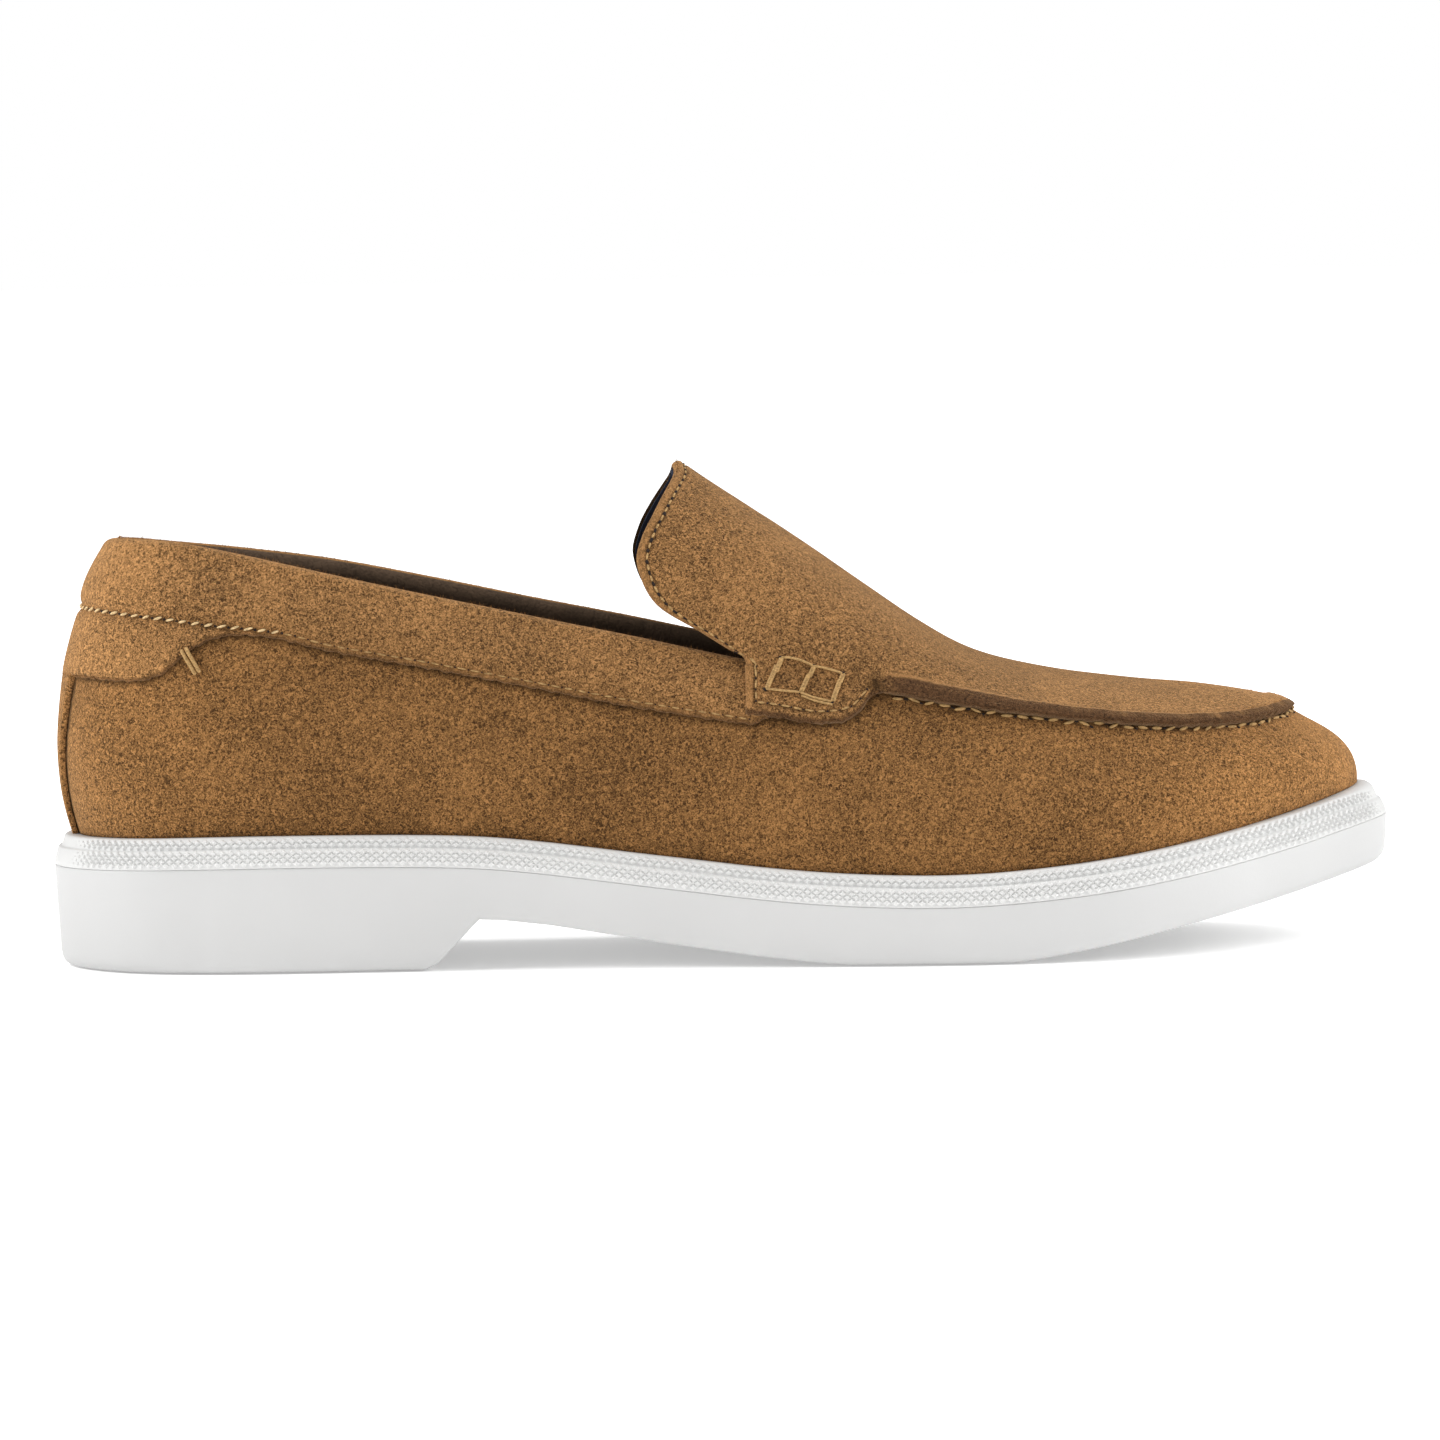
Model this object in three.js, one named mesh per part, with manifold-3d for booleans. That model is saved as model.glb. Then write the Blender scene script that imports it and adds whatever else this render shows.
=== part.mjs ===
// Right-foot moccasin with an apron toe on a white unit sole.
// Millimetres. +X runs from heel to toe, the outer (lateral) side is -Y, +Z is up, the floor is z = 0.
import * as THREE from "three";
import { mergeVertices } from "three/addons/utils/BufferGeometryUtils.js";
import Module from "manifold-3d";

const wasm = await Module();
wasm.setup();

// ---- Driving dimensions ----
const SOLE_LENGTH = 300;
const SOLE_WIDTH = 103;
const TONGUE_HEIGHT = 110.6;

const WELT_WIDTH = 5; // how far the sole stands out beyond the upper
const BAND_HEIGHT = 7; // textured band below the upper's bottom edge
const UPPER_TIER_HEIGHT = 2.7;
const UPPER_TIER_SETBACK = 1.6;
const BAND_DEPTH = 7.5; // width of the band ring, from the sole's edge inwards

const SUEDE = 1.6;
const APRON_SUEDE = 1.7;
const COLLAR_SUEDE = 1.4;
const STRIP_SUEDE = 1.2;
const LINING = 0.8;
const COUNTER = 1.2;
const LASTING_MARGIN = 12;
const APRON_OVERLAP = 2.2;
const LIP_EXTRA = 1.1; // the apron's stitched edge is thicker than its middle by this
const COLLAR_OVERLAP = 9; // how far the collar band covers the quarter

const BOARD = 2;
const FOOTBED = 4;
const FOOTBED_INSET = 4.8;
const FOOTBED_TOE_TRIM = 8; // the footbed stops short of the sloping toe by this much more
const SOCK = 0.8;
const HEEL_PAD = 2;
const HEEL_PAD_MARGIN = 3.4; // from the pad to the footbed's edge at the widest part of the heel
const SHANK_LENGTH = 112;
const SHANK_WIDTH = 15;
const SHANK_THICKNESS = 1.5;

const THREAD = 0.8;
const BOX_THREAD = 1;
const GAP = 0.3; // clearance between pieces that touch

// ---- Form tables, drawn at this size and scaled to the driving dimensions ----
const FORM_LENGTH = 290;
const FORM_WIDTH = 92.6;
const FORM_HEIGHT = 110.6;
const scaleX = (SOLE_LENGTH - 2 * WELT_WIDTH) / FORM_LENGTH;
const scaleY = (SOLE_WIDTH - 2 * WELT_WIDTH) / FORM_WIDTH;
const scaleZ = TONGUE_HEIGHT / FORM_HEIGHT;

// Stations round the shoe, from the heel seam along the lateral side, round the toe and back:
// bottom edge x, y; top edge x, y, z; bulge of the wall low down and high up.
const STATIONS = [
  [-145, 0, -136.5, 0, 93.5, 9.5, 6.5],
  [-141.5, -14, -132.8, -12, 93.3, 9.5, 6.5],
  [-130, -25.5, -121.5, -20.5, 91.9, 9, 6.5],
  [-113, -31, -105.5, -25.5, 89.1, 8.5, 6],
  [-92, -32.8, -87, -28, 85, 8, 6],
  [-69, -33.5, -66, -29.3, 80.4, 7.5, 5.5],
  [-45, -34.5, -44, -30, 75.3, 7, 5],
  [-20, -37, -20, -31, 70.1, 7, 5],
  [5, -41, 4, -33, 65.5, 7, 5],
  [30, -45, 28, -36.5, 61.2, 7, 4.5],
  [55, -47.3, 52, -38.5, 56.6, 7, 4],
  [79, -45.5, 75, -37.5, 53.2, 7, 3.5],
  [101, -39, 96, -32.5, 50.9, 7, 3],
  [119.5, -29.5, 111, -25.5, 50.2, 7.5, 2.5],
  [132.5, -19.5, 121, -17.5, 50.8, 8, 2],
  [141.5, -8.5, 127, -8.5, 51.8, 8, 1.5],
  [145, 2.5, 129, 1, 52.4, 8, 1.5],
  [142, 13.5, 127, 10.5, 52, 8, 1.5],
  [133.5, 24, 121, 19.5, 51.2, 8, 2],
  [121, 32.5, 111, 27.5, 50.8, 7.5, 2.5],
  [103, 39.5, 96, 34, 51.6, 7, 3],
  [80.5, 44.3, 75, 38, 53.8, 7, 3.5],
  [56, 45, 52, 38.3, 57.2, 7, 4],
  [31, 41, 28, 36, 61.7, 7, 4.5],
  [6, 34.5, 4, 32, 65.9, 7, 5],
  [-19, 29.5, -20, 29, 70.3, 7, 5],
  [-44, 28, -44, 27.5, 75.3, 7, 5],
  [-68, 28.8, -66, 27, 80.4, 7.5, 5.5],
  [-91, 29.5, -87, 26, 85, 8, 6],
  [-112, 29, -105.5, 24, 89.1, 8.5, 6],
  [-129.5, 24.5, -121.5, 19.5, 91.9, 9, 6.5],
  [-141.3, 13.5, -132.8, 11.5, 93.3, 9.5, 6.5],
];
const STATION_COUNT = STATIONS.length;
const TOE = STATION_COUNT / 2;

// Height of the upper's bottom edge along the shoe.
const FEATHER = [
  [-145, 29.4], [-110, 30.2], [-72, 30], [-50, 28.9], [-15, 24.5], [16, 20.9],
  [44, 19.6], [67, 20.6], [92, 23.5], [122, 29.2], [145, 34.6],
];
// Height of the middle line of instep and apron.
const RIDGE = [
  [-10, 108.2], [8, 97], [20, 88.9], [34, 79.1], [44, 72], [52, 67], [60, 63.6],
  [70, 60.9], [84, 58.2], [100, 56.1], [116, 54.4], [130, 52.6],
];
// Walking surface: heel block, slanted heel breast, waist and curved forefoot.
const TREAD = [
  [-160, 0], [-68, 0], [-65, 1.5], [-56, 11], [-51, 10.8], [-40, 9.5], [-30, 7.8], [-14, 5],
  [5, 2.2], [18, 0.6], [26, 0], [62, 0], [72, 1.4], [84, 3.4], [96, 5.8], [110, 8.6],
  [124, 11.6], [137, 14.4], [160, 19.5],
];
// Rear edge of the tongue from the collar up to its tip: share of the way, x, half-width, z.
const TONGUE_EDGE = [
  [0, 4, 32.5, 65.5], [0.06, 1.5, 31.8, 69.2], [0.15, -5.8, 30.4, 74.5], [0.27, -15.6, 28.5, 80.2],
  [0.39, -19.2, 25.5, 88.2], [0.48, -18.2, 22.6, 94.2], [0.6, -15.8, 18.2, 99.4],
  [0.72, -13.2, 13, 103.6], [0.86, -10.8, 6.5, 107.1], [1, -10, 0, 108.2],
];
// Where each cross line of the apron meets its middle line: station, x.
const SPINE = [[8.16, 8], [9, 28], [10, 50], [11, 69], [12, 83], [13, 90], [14, 93.5], [15, 95], [16, 95.5]];
// Lower edge of the collar band: station from the heel seam, height.
const COLLAR_LOW = [
  [0, 65], [1, 65], [1.9, 64.8], [2.2, 66.5], [2.45, 71], [2.75, 74], [3.1, 74.6], [3.5, 73.6],
  [4, 71], [5, 66.8], [6, 62.2], [7, 57.2], [8, 53],
];
// Upper stitch line of the collar band, which joins the lower edge line further forward.
const COLLAR_STITCH = [
  [0, 80], [1, 79.6], [2, 78.2], [2.7, 76.6], [3.2, 75.6], [3.6, 74.4],
  [4, 72.2], [5, 68], [6, 63.4], [7, 58.4], [8, 54.2],
];
// Lower edge of the tab: station, height.
const TAB_LOW = [[8, 56.6], [8.3, 54.6], [8.7, 52.9], [8.9, 53.4], [9, 54.6], [9.1, 57], [9.2, 58.6]];
const TAB_END_STATION = 9.2;
const BAND_END_STATION = 7.87;
const WALL_STEP = 0.02;
const WALL_STEP_STATION = BAND_END_STATION + WALL_STEP; // in front of this the wall reaches its full height

// ---- Curves ----
// Smooth curve through rows of [x, value...], with finite-difference slopes.
function curveThrough(rows, x, column = 1) {
  let i = 0;
  while (i < rows.length - 2 && x > rows[i + 1][0]) i += 1;
  const slope = (a, b) => (rows[b][column] - rows[a][column]) / (rows[b][0] - rows[a][0]);
  const tangent = (k) => slope(Math.max(0, k - 1), Math.min(rows.length - 1, k + 1));
  const width = rows[i + 1][0] - rows[i][0];
  const u = Math.min(1, Math.max(0, (x - rows[i][0]) / width));
  const rise = u * u * (3 - 2 * u);
  const bendIn = u * (1 - u) * (1 - u) * width;
  const bendOut = -u * u * (1 - u) * width;
  const level = rows[i][column] * (1 - rise) + rows[i + 1][column] * rise;
  return level + tangent(i) * bendIn + tangent(i + 1) * bendOut;
}

// Control points of the closed cubic B-spline that passes through the stations.
function splineControls(rows) {
  let controls = rows.map((row) => [...row]);
  const rounds = 40;
  for (let round = 0; round < rounds; round += 1) {
    controls = rows.map((row, i) => {
      const before = controls[(i + rows.length - 1) % rows.length];
      const after = controls[(i + 1) % rows.length];
      return row.map((value, k) => (6 * value - before[k] - after[k]) / 4);
    });
  }
  return controls;
}
const CONTROLS = splineControls(STATIONS);

function atStation(s) {
  const base = Math.floor(s);
  const u = s - base;
  const weights = [
    (1 - u) ** 3 / 6,
    (3 * u ** 3 - 6 * u ** 2 + 4) / 6,
    (-3 * u ** 3 + 3 * u ** 2 + 3 * u + 1) / 6,
    u ** 3 / 6,
  ];
  const row = (k) => CONTROLS[(((base - 1 + k) % STATION_COUNT) + STATION_COUNT) % STATION_COUNT];
  return CONTROLS[0].map((_, column) => weights.reduce((sum, w, k) => sum + w * row(k)[column], 0));
}

const featherZ = (x) => curveThrough(FEATHER, x / scaleX) * scaleZ;
const ridgeZ = (x) => curveThrough(RIDGE, x / scaleX) * scaleZ;

function bottomEdge(s) {
  const [x, y] = atStation(s);
  return new THREE.Vector3(x * scaleX, y * scaleY, featherZ(x * scaleX));
}

function topEdge(s) {
  const [, , x, y, z] = atStation(s);
  return new THREE.Vector3(x * scaleX, y * scaleY, z * scaleZ);
}

// Outward direction of the bottom edge in plan.
function planNormal(s) {
  const step = 0.02;
  const along = bottomEdge(s + step).sub(bottomEdge(s - step));
  return new THREE.Vector3(along.y, -along.x, 0).normalize();
}

// Outer form of the upper's wall: t runs from the bottom edge (0) to the top edge (1).
function wallPoint(s, t) {
  const low = bottomEdge(s);
  const high = topEdge(s);
  const chord = high.clone().sub(low);
  const side = planNormal(s);
  const outward = side.addScaledVector(chord, -side.dot(chord) / chord.lengthSq()).normalize();
  const station = atStation(s);
  const bulge = 3 * (1 - t) * t * ((1 - t) * station[5] + t * station[6]);
  return low.addScaledVector(chord, t).addScaledVector(outward, bulge);
}

// The share of the way up the wall at which it reaches height z.
function wallShareAt(s, z) {
  let low = 0;
  let high = 1;
  for (let i = 0; i < 24; i += 1) {
    const middle = (low + high) / 2;
    if (wallPoint(s, middle).z < z) low = middle;
    else high = middle;
  }
  return (low + high) / 2;
}

const wallLength = (s) => topEdge(s).distanceTo(bottomEdge(s));
// A station on either side of the shoe, counted from the heel seam.
const fromHeel = (s) => Math.min(s, STATION_COUNT - s);

// A cross line of the instep, from the top edge (share 0) to the middle line (share 1).
function crossLine(s, share) {
  const lateral = topEdge(fromHeel(s));
  const medial = topEdge(STATION_COUNT - fromHeel(s));
  const edge = s <= TOE ? lateral : medial;
  const spineX = curveThrough(SPINE, fromHeel(s)) * scaleX;
  const spine = new THREE.Vector3(spineX, (lateral.y + medial.y) / 2, ridgeZ(spineX));
  const angle = (share * Math.PI) / 2;
  const roundness = 1 + 0.7 * THREE.MathUtils.clamp((11 - fromHeel(s)) / 2.5, 0, 1);
  const reach = Math.cos(angle);
  const climb = Math.sin(angle) ** (2 / roundness);
  return new THREE.Vector3(
    spine.x + (edge.x - spine.x) * reach,
    spine.y + (edge.y - spine.y) * reach,
    edge.z + (spine.z - edge.z) * climb,
  );
}

// Rear edge of the tongue on one side.
function tongueEdge(isLateral, share) {
  const halfWidth = curveThrough(TONGUE_EDGE, share, 2) * scaleY;
  const middle = (topEdge(TONGUE_STATION).y + topEdge(STATION_COUNT - TONGUE_STATION).y) / 2;
  return new THREE.Vector3(
    curveThrough(TONGUE_EDGE, share, 1) * scaleX,
    middle + (isLateral ? -halfWidth : halfWidth),
    curveThrough(TONGUE_EDGE, share, 3) * scaleZ,
  );
}
const TONGUE_STATION = 8.16; // the last full cross line: behind it the tongue runs to its rear edge
const TONGUE_END_STATION = 8.0;

// Instep and apron: s from the tongue's rear edge round the toe to the other side.
function instepPoint(s, share) {
  const near = fromHeel(s);
  if (near >= TONGUE_STATION) return crossLine(s, share);
  const isLateral = s < TOE;
  const station = isLateral ? TONGUE_STATION : STATION_COUNT - TONGUE_STATION;
  const back = (TONGUE_STATION - near) / (TONGUE_STATION - TONGUE_END_STATION);
  return crossLine(station, share).lerp(tongueEdge(isLateral, share), back);
}

// ---- Building solids ----
function meshFromFaces(points, faces) {
  const geometry = new THREE.BufferGeometry();
  geometry.setAttribute("position", new THREE.Float32BufferAttribute(points.flatMap((p) => [p.x, p.y, p.z]), 3));
  geometry.setIndex(faces.flat());
  return geometry;
}

// A sheet of leather or lining: the grid's surface, thickened between two offsets along its normals.
// grid[column][row]; columns run counter-clockwise seen from outside when rows run upwards.
function sheet(grid, outerOffset, innerOffset, isClosed = false) {
  const index = new Map();
  const points = [];
  const id = grid.map((column) =>
    column.map((p) => {
      const key = [p.x, p.y, p.z].map((v) => Math.round(v * 1e3)).join();
      if (!index.has(key)) {
        index.set(key, points.length);
        points.push(p);
      }
      return index.get(key);
    }),
  );
  const columns = grid.length;
  const rows = grid[0].length;
  const faces = [];
  for (let c = 0; c < columns - (isClosed ? 0 : 1); c += 1) {
    for (let r = 0; r < rows - 1; r += 1) {
      const next = (c + 1) % columns;
      faces.push([id[c][r], id[next][r], id[next][r + 1]], [id[c][r], id[next][r + 1], id[c][r + 1]]);
    }
  }
  const real = faces.filter(([a, b, c]) => a !== b && b !== c && c !== a);
  const normals = points.map(() => new THREE.Vector3());
  for (const [a, b, c] of real) {
    const normal = points[b].clone().sub(points[a]).cross(points[c].clone().sub(points[a]));
    for (const corner of [a, b, c]) normals[corner].add(normal);
  }
  const offsets = points.map(() => [0, 0]);
  for (let c = 0; c < columns; c += 1) {
    for (let r = 0; r < rows; r += 1) {
      const outer = typeof outerOffset === "function" ? outerOffset(c, r) : outerOffset;
      offsets[id[c][r]] = [outer, innerOffset];
    }
  }
  const moved = (k) => points.map((p, i) => p.clone().addScaledVector(normals[i].normalize(), offsets[i][k]));
  const all = [...moved(0), ...moved(1)];
  const count = points.length;
  const solid = [...real, ...real.map(([a, b, c]) => [c + count, b + count, a + count])];
  const edges = new Set(real.flatMap(([a, b, c]) => [`${a},${b}`, `${b},${c}`, `${c},${a}`]));
  for (const edge of edges) {
    const [a, b] = edge.split(",").map(Number);
    if (!edges.has(`${b},${a}`)) solid.push([a, a + count, b + count], [a, b + count, b]);
  }
  return meshFromFaces(all, solid);
}

function toManifold(geometry) {
  const bare = geometry.clone();
  bare.deleteAttribute("normal");
  bare.deleteAttribute("uv");
  const merged = mergeVertices(bare, 1e-4);
  return new wasm.Manifold(
    new wasm.Mesh({
      numProp: 3,
      vertProperties: merged.attributes.position.array,
      triVerts: new Uint32Array(merged.index.array),
    }),
  );
}

function fromManifold(solid) {
  const mesh = solid.getMesh();
  const geometry = new THREE.BufferGeometry();
  const positions = new Float32Array(mesh.numVert * 3);
  for (let i = 0; i < mesh.numVert; i += 1) {
    positions.set(mesh.vertProperties.subarray(i * mesh.numProp, i * mesh.numProp + 3), i * 3);
  }
  geometry.setAttribute("position", new THREE.BufferAttribute(positions, 3));
  geometry.setIndex(new THREE.BufferAttribute(mesh.triVerts, 1));
  return geometry;
}

// Flat outline in plan, extruded upwards.
function upright(outline, depth) {
  const shape = new THREE.Shape(outline.map((p) => new THREE.Vector2(p.x, p.y)));
  return toManifold(new THREE.ExtrudeGeometry(shape, { depth, bevelEnabled: false }));
}

// Everything between two heights that change along the shoe.
function slab(lowZ, highZ) {
  const reach = SOLE_LENGTH * 0.55;
  const steps = 44;
  const xs = Array.from({ length: steps + 1 }, (_, i) => -reach + (2 * reach * i) / steps);
  const below = lowZ === treadZ ? treadPoints() : xs.map((x) => new THREE.Vector2(x, lowZ(x)));
  const above = xs.map((x) => new THREE.Vector2(x, highZ(x))).reverse();
  const geometry = new THREE.ExtrudeGeometry(new THREE.Shape([...below, ...above]), {
    depth: 2 * SOLE_WIDTH,
    bevelEnabled: false,
  });
  geometry.rotateX(Math.PI / 2);
  geometry.translate(0, SOLE_WIDTH, 0);
  return toManifold(geometry);
}

const treadPoints = () => TREAD.map(([x, z]) => new THREE.Vector2(x * scaleX, z * scaleZ));
const treadZ = () => 0;

// Outline of the sole unit, moved outwards from the upper's bottom edge.
const outline = (outwards, toeTrim = 0) =>
  SLICES.map((s) => bottomEdge(s).addScaledVector(planNormal(s), outwards - toeTrim * nearToe(s)));
const layer = (points, lowZ, highZ) => upright(points, SOLE_LENGTH).intersect(slab(lowZ, highZ));
const above = (rise) => (x) => featherZ(x) + rise;

// Rounded strip or disc in plan.
function roundedBar(x0, x1, radius) {
  const steps = 10;
  const arc = (centre, start) =>
    Array.from({ length: steps + 1 }, (_, i) => {
      const angle = start + (Math.PI * i) / steps;
      return new THREE.Vector2(centre + radius * Math.cos(angle), radius * Math.sin(angle));
    });
  return [...arc(x1 - radius, -Math.PI / 2), ...arc(x0 + radius, Math.PI / 2)];
}

// ---- Columns and rows shared by all layers of the upper ----
// Cross-sections are closest together round the heel, where the upper bends most, and furthest
// apart beside the heel seat, where both the outline and the profile are nearly straight.
const SLICES = STATIONS.flatMap((_, i) => {
  const near = Math.min(i, STATION_COUNT - 1 - i);
  if (near < 3) return [i, i + 1 / 3, i + 2 / 3];
  return near === 4 ? [i] : [i, i + 0.5];
});
const WALL_SHARES = [0.16, 0.32, 0.5, 0.68, 0.84, 1];
const slicesBetween = (from, to) => [from, ...SLICES.filter((s) => s > from + 0.1 && s < to - 0.1), to];
// The same for a stretch that runs through the heel seam.
const slicesRoundHeel = (end) => [
  ...slicesBetween(STATION_COUNT - end, STATION_COUNT),
  ...slicesBetween(0, end).slice(1),
];

const collarLowShare = (s) => wallShareAt(s, curveThrough(COLLAR_LOW, fromHeel(s)) * scaleZ);
// The wall ends under the collar band, and runs on to the apron seam in front of it.
function wallTopShare(s) {
  if (fromHeel(s) > WALL_STEP_STATION + WALL_STEP / 2) return 1;
  return Math.min(collarLowShare(s) + COLLAR_OVERLAP / wallLength(s), 0.93);
}
const boardTop = GAP + SUEDE + GAP + BOARD;
// The toe's wall leans inwards, so the layers inside it start a little higher there.
const nearToe = (s) => THREE.MathUtils.smoothstep(fromHeel(s), TOE - 5, TOE - 1);
const boardShare = (s) => wallShareAt(s, bottomEdge(s).z + boardTop + GAP * (1 + 4 * nearToe(s)));
// Rows of an inner layer, from the insole board up to the wall's top edge.
function innerShares(s, last = 6) {
  const start = boardShare(s);
  const top = wallTopShare(s);
  return [start, ...WALL_SHARES.slice(0, last).map((w, i) => (i ? w * top : Math.max(w * top, start + 0.05)))];
}

// ---- Sub-parts ----
function soleBase() {
  const rim = layer(outline(WELT_WIDTH), treadZ, above(-BAND_HEIGHT));
  const core = layer(outline(WELT_WIDTH - BAND_DEPTH), treadZ, above(-GAP));
  const pocket = upright(roundedBar(SHANK_START - GAP, SHANK_START + SHANK_LENGTH + GAP, SHANK_WIDTH / 2 + GAP), SOLE_LENGTH)
    .intersect(slab(above(-SHANK_THICKNESS - 3 * GAP), above(BAND_HEIGHT)));
  return fromManifold(rim.add(core).subtract(pocket));
}
const SHANK_START = -SOLE_LENGTH * 0.32;

function weltBand() {
  const hole = upright(outline(WELT_WIDTH - BAND_DEPTH + GAP), SOLE_LENGTH);
  const lower = layer(outline(WELT_WIDTH), above(GAP - BAND_HEIGHT), above(-UPPER_TIER_HEIGHT));
  const upper = layer(outline(WELT_WIDTH - UPPER_TIER_SETBACK), above(GAP - BAND_HEIGHT), above(-GAP));
  return fromManifold(lower.add(upper).subtract(hole));
}

function shank() {
  const plan = upright(roundedBar(SHANK_START, SHANK_START + SHANK_LENGTH, SHANK_WIDTH / 2), SOLE_LENGTH);
  return fromManifold(plan.intersect(slab(above(-SHANK_THICKNESS - 2 * GAP), above(-2 * GAP))));
}

const bottomFiller = () => fromManifold(layer(outline(-LASTING_MARGIN - 2 * GAP), above(0), above(SUEDE)));
// The board lies inside the wall, whose facets cut its corners more on a longer shoe.
const boardInset = SUEDE + 2 * GAP * scaleX ** 2;
const insoleBoard = () => fromManifold(layer(outline(-boardInset), above(boardTop - BOARD), above(boardTop)));

// The pad fills the round end of the footbed.
function padPlan(extra) {
  const widest = 3;
  const halfWidth = (bottomEdge(STATION_COUNT - widest).y - bottomEdge(widest).y) / 2;
  const padRadius = halfWidth - FOOTBED_INSET - HEEL_PAD_MARGIN;
  const centre = bottomEdge(0).x + FOOTBED_INSET + HEEL_PAD_MARGIN + padRadius * 1.25;
  const radius = padRadius + extra;
  return upright(roundedBar(centre - radius, centre + radius, radius), SOLE_LENGTH);
}
const padBottom = boardTop + GAP;

function heelPad() {
  return fromManifold(padPlan(0).intersect(slab(above(padBottom), above(padBottom + HEEL_PAD))));
}

function footbed() {
  const foam = layer(outline(-FOOTBED_INSET, FOOTBED_TOE_TRIM), above(padBottom), above(padBottom + FOOTBED));
  const recess = padPlan(GAP).intersect(slab(above(padBottom - BOARD), above(padBottom + HEEL_PAD + GAP)));
  return fromManifold(foam.subtract(recess));
}

function sockLining() {
  const bottom = padBottom + FOOTBED + GAP;
  return fromManifold(layer(outline(-FOOTBED_INSET, FOOTBED_TOE_TRIM), above(bottom), above(bottom + SOCK)));
}

// Vamp and quarters in one, open at the heel seam, with the lasting margin turned in below.
function sideWall() {
  const seam = 0.02;
  const step = [WALL_STEP_STATION, WALL_STEP_STATION + WALL_STEP];
  const steps = [...step, ...step.map((s) => STATION_COUNT - s)];
  const isNearStep = (s) => steps.some((at) => Math.abs(s - at) < 0.1);
  const slices = slicesBetween(seam, STATION_COUNT - seam).filter((s) => !isNearStep(s));
  slices.push(...steps);
  slices.sort((a, b) => a - b);
  const grid = slices.map((s) => {
    const inwards = planNormal(s).negate();
    const margin = [LASTING_MARGIN, LASTING_MARGIN / 3].map((d) => {
      const point = bottomEdge(s).addScaledVector(inwards, d);
      return point.setZ(featherZ(point.x));
    });
    const rows = [0, ...WALL_SHARES].map((w) => wallPoint(s, w * wallTopShare(s)));
    return [...margin, ...rows];
  });
  return sheet(grid, 0, -SUEDE);
}

function heelCounter() {
  const end = 3.5;
  const grid = slicesRoundHeel(end).map((s) => innerShares(s, 4).map((t) => wallPoint(s, t)));
  return sheet(grid, -SUEDE - GAP, -SUEDE - GAP - COUNTER);
}

function toePuff() {
  const reach = 3;
  const grid = slicesBetween(TOE - reach, TOE + reach).map((s) => innerShares(s, 4).map((t) => wallPoint(s, t)));
  return sheet(grid, -SUEDE - GAP, -SUEDE - GAP - COUNTER);
}

const liningOffset = -SUEDE - 2 * GAP - COUNTER;
const LINING_JOINT = 8.9; // station where the quarter lining meets the vamp lining

function quarterLining() {
  const rimShare = (s) => 1 - 3.5 / wallLength(s);
  const grid = slicesRoundHeel(LINING_JOINT - 0.04).map((s) => {
    const shares = innerShares(s);
    const top = Math.max(rimShare(s), shares[5] + 0.04);
    const rows = [...shares.slice(0, 6), Math.min((shares[5] + top) / 2, 1), Math.min(top, 0.99)];
    return rows.map((t) => wallPoint(s, t));
  });
  return sheet(grid, liningOffset, liningOffset - LINING);
}

function vampLining() {
  const crossShares = [0.42, 0.6, 0.8, 1];
  const grid = slicesBetween(LINING_JOINT, STATION_COUNT - LINING_JOINT).map((s) => [
    ...innerShares(s, 5).map((t) => wallPoint(s, t)),
    wallPoint(s, 0.97),
    ...crossShares.map((share) => instepPoint(s, share)),
  ]);
  return sheet(grid, liningOffset, liningOffset - LINING);
}

// Plug, tongue and side tabs in one piece, lapped over the wall.
const tabShare = (s) => wallShareAt(s, curveThrough(TAB_LOW, fromHeel(s)) * scaleZ);
const apronLowShare = (s) => {
  const lap = 1 - APRON_OVERLAP / wallLength(s);
  return fromHeel(s) < TAB_END_STATION ? Math.min(tabShare(s), lap) : lap;
};
const apronSlices = () => {
  const start = [8.0, 8.04, 8.08, 8.12, 8.16, 8.3, 8.45, 8.6, 8.75, 8.87, 8.97, 9.06, 9.13, TAB_END_STATION];
  const end = start.map((s) => STATION_COUNT - s).reverse();
  const middle = SLICES.filter((s) => s > TAB_END_STATION + 0.1 && s < STATION_COUNT - TAB_END_STATION - 0.1);
  return [...start, ...middle, ...end];
};

function apron() {
  const crossShares = [0.12, 0.3, 0.48, 0.66, 0.83, 1];
  const lapRows = [0, 0.35, 0.7];
  const grid = apronSlices().map((s) => {
    const low = apronLowShare(s);
    return [
      ...lapRows.map((k) => wallPoint(s, low + (1 - low) * k)),
      instepPoint(s, 0),
      ...crossShares.map((share) => instepPoint(s, share)),
    ];
  });
  const slices = apronSlices();
  const isLip = (c) => fromHeel(slices[c]) >= TAB_END_STATION;
  const outer = (c, r) => GAP + APRON_SUEDE + (isLip(c) && r > 0 && r <= lapRows.length ? LIP_EXTRA : 0);
  return sheet(grid, outer, GAP);
}

function tongueLining() {
  const end = LINING_JOINT;
  const lateral = [8.03, 8.08, 8.12, 8.16, 8.3, 8.5, 8.7, end];
  const shares = [0.3, 0.45, 0.6, 0.8, 1];
  const rib = (s) => shares.map((share) => instepPoint(s, share));
  const half = lateral.map(rib);
  const other = lateral.map((s) => rib(STATION_COUNT - s));
  const grid = half.map((column, i) => [...column, ...[...other[i]].reverse().slice(1)]);
  return sheet(grid, -GAP, -GAP - LINING);
}

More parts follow.
